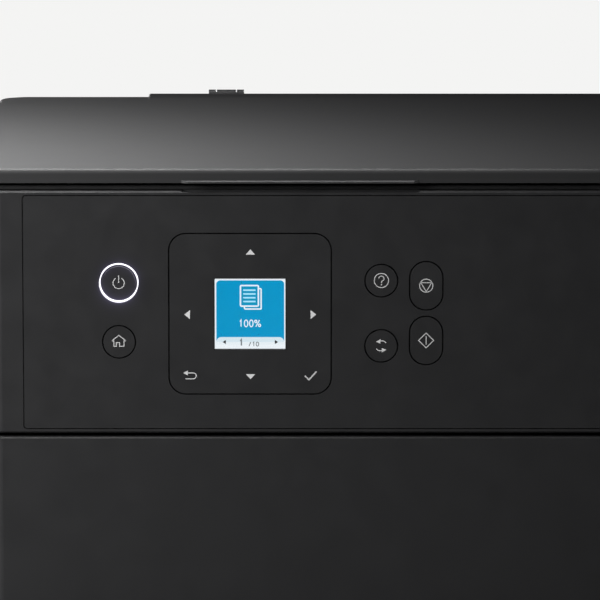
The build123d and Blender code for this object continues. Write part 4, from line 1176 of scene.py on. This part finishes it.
@dataclass
class Studio:
    """The pale floor, the soft lights, the camera and the glow of what is lit in the picture."""

    target: Place = (-0.06406, -0.149, 0.12186)
    elevation: float = 8.4
    distance: float = 1.825
    lens: float = 300.0
    sensor: float = 36.0
    clip: Point = (0.05, 50.0)
    floor_radius: float = 6.0
    floor_steps: int = 96
    floor_colour: str = "f4f4f3"
    # The painted contact shadow on the floor: its colour, how far it reaches from what stands there, and how
    # finely it is sampled.
    painted_shadow_colour: str = "8f8f90"
    bounce_colour: str = "585858"
    painted_shadow_reach: float = 0.14
    painted_shadow_samples: int = 12
    sky_colour: str = "ffffff"
    fill: float = 0.004
    bloom_threshold: float = 1.05
    bloom_strength: float = 1.0
    bloom_size: float = 0.03
    bloom_tint: str = "c8bcff"
    lights: tuple[SoftLight, ...] = (
        SoftLight("front_box", (-0.6, -0.55, 0.39), (-0.1, -0.15, 0.1), (0.3, 0.25), 7.3),
        SoftLight("edge_box_left", (-0.24, -0.23, 0.68), (-0.12, -0.15, 0.16), (0.16, 0.1), 0.56),
        SoftLight("edge_box_middle", (-0.1, -0.23, 0.68), (-0.08, -0.15, 0.16), (0.16, 0.1), 0.17),
        SoftLight("lid_back_box", (-0.546, 0.582, 0.7436), LID_SPOT, (0.2, 0.15), 0.256, 25.0),
        SoftLight("lid_low_box", (-0.2, 0.746, 0.593), LID_SPOT, (0.3, 0.2), 0.004, 45.0),
        SoftLight("lid_high_box", (-0.379, 0.223, 1.076), LID_SPOT, (0.3, 0.15), 0.293, 45.0),
        SoftLight("lid_top_box", (-0.273, -0.003, 1.155), LID_SPOT, (0.3, 0.15), 0.59, 45.0),
        SoftLight("left_strip", (-1.0, 0.15, 0.08), (0.0, 0.05, 0.08), (0.7, 0.12), 1.3, 60.0),
        SoftLight("right_strip", (1.0, 0.1, 0.08), (0.0, 0.05, 0.08), (0.7, 0.12), 1.3, 60.0),
        SoftLight("rear_strip", (0.0, 1.1, 0.08), (0.0, 0.0, 0.08), (0.8, 0.12), 1.2, 60.0),
    )

    def build(self) -> None:
        """Set up floor, world, lights, camera and glow."""
        self.lay_floor()
        self.light_world()
        for light in self.lights:
            light.hang()
        self.set_camera()
        self.add_bloom()

    def lay_floor(self) -> None:
        """Lay a wide pale sheet under the feet."""
        mesh = bmesh.new()
        bmesh.ops.create_circle(mesh, cap_ends=True, segments=self.floor_steps, radius=self.floor_radius)
        floor = finished_mesh("floor", mesh)
        floor.data.materials.append(self.floor_paper())

    def floor_paper(self) -> bpy.types.Material:
        """Make backlit paper: even to the eye, dim to the printer, with a painted contact shadow near what
        stands on it.

        Returns:
            The material.
        """
        paper = bpy.data.materials.new("backlit studio paper")
        tree = fresh_tree(paper)
        # Painted contact shadow: ambient occlusion darkens the floor's emitted colour near the printer,
        # whatever the lights do.
        near = add_node(tree, "ShaderNodeAmbientOcclusion", {"Distance": self.painted_shadow_reach},
                        samples=self.painted_shadow_samples)
        tone = mix_colours(tree, near.outputs["AO"], linear(self.painted_shadow_colour), linear(self.floor_colour))
        seen = add_node(tree, "ShaderNodeEmission", {"Color": tone})
        dull = add_node(tree, "ShaderNodeBsdfDiffuse", {"Color": linear(self.bounce_colour)})
        add_node(tree, "ShaderNodeOutputMaterial", {"Surface": self.split(tree, seen, dull)})
        return paper

    def split(self, tree: Tree, seen: Node, cast: Node) -> Socket:
        """Show the camera one shader and let another one light the printer.

        Args:
            tree: The node tree of both.
            seen: The shader that the camera sees.
            cast: The shader that lights the printer.

        Returns:
            The two shaders as one.
        """
        ray = add_node(tree, "ShaderNodeLightPath").outputs["Is Camera Ray"]
        mixed = add_node(tree, "ShaderNodeMixShader", {0: ray, 1: cast.outputs[0], 2: seen.outputs[0]})
        return mixed.outputs[0]

    def light_world(self) -> None:
        """Give the camera a plain white sky, and everything else a dim even one."""
        world = bpy.data.worlds.new("studio")
        bpy.context.scene.world = world
        tree = fresh_tree(world)
        white = linear(self.sky_colour)
        seen = add_node(tree, "ShaderNodeBackground", {"Color": white, "Strength": 1.0})
        dim = add_node(tree, "ShaderNodeBackground", {"Color": white, "Strength": self.fill})
        add_node(tree, "ShaderNodeOutputWorld", {"Surface": self.split(tree, seen, dim)})

    def set_camera(self) -> None:
        """Stand the camera low in front, with a long lens, as the photograph was taken."""
        data = bpy.data.cameras.new("camera")
        data.lens, data.sensor_width = self.lens, self.sensor
        data.clip_start, data.clip_end = self.clip
        camera = add_object("camera", data)
        rise = math.radians(self.elevation)
        back = Vector((0.0, -math.cos(rise), math.sin(rise)))
        camera.location = Vector(self.target) + back * self.distance
        camera.rotation_euler = (-back).to_track_quat("-Z", "Y").to_euler()
        bpy.context.scene.camera = camera

    def add_bloom(self) -> None:
        """Let what is brighter than white glow softly: the lit ring and, a trace, the screen."""
        scene = bpy.context.scene
        scene.view_settings.view_transform = "Standard"
        tree = fresh_tree(scene)
        layers = add_node(tree, "CompositorNodeRLayers")
        glare = add_node(tree, "CompositorNodeGlare", {
            "Image": layers.outputs["Image"], "Threshold": self.bloom_threshold,
            "Strength": self.bloom_strength, "Size": self.bloom_size, "Tint": linear(self.bloom_tint)},
            glare_type="BLOOM", quality="HIGH")
        add_node(tree, "CompositorNodeComposite", {"Image": glare.outputs["Image"]})


def main() -> None:
    """Build the printer's looks piece by piece, then the studio round it."""
    for part in (ControlPanel(), LidAndScanner(), PrintEngine(), Electrics()):
        part.build()
        part.dress()
        log.info("%s done", type(part).__name__)
    CaseShell().dress()
    Studio().build()


if __name__ == "__main__":
    main()
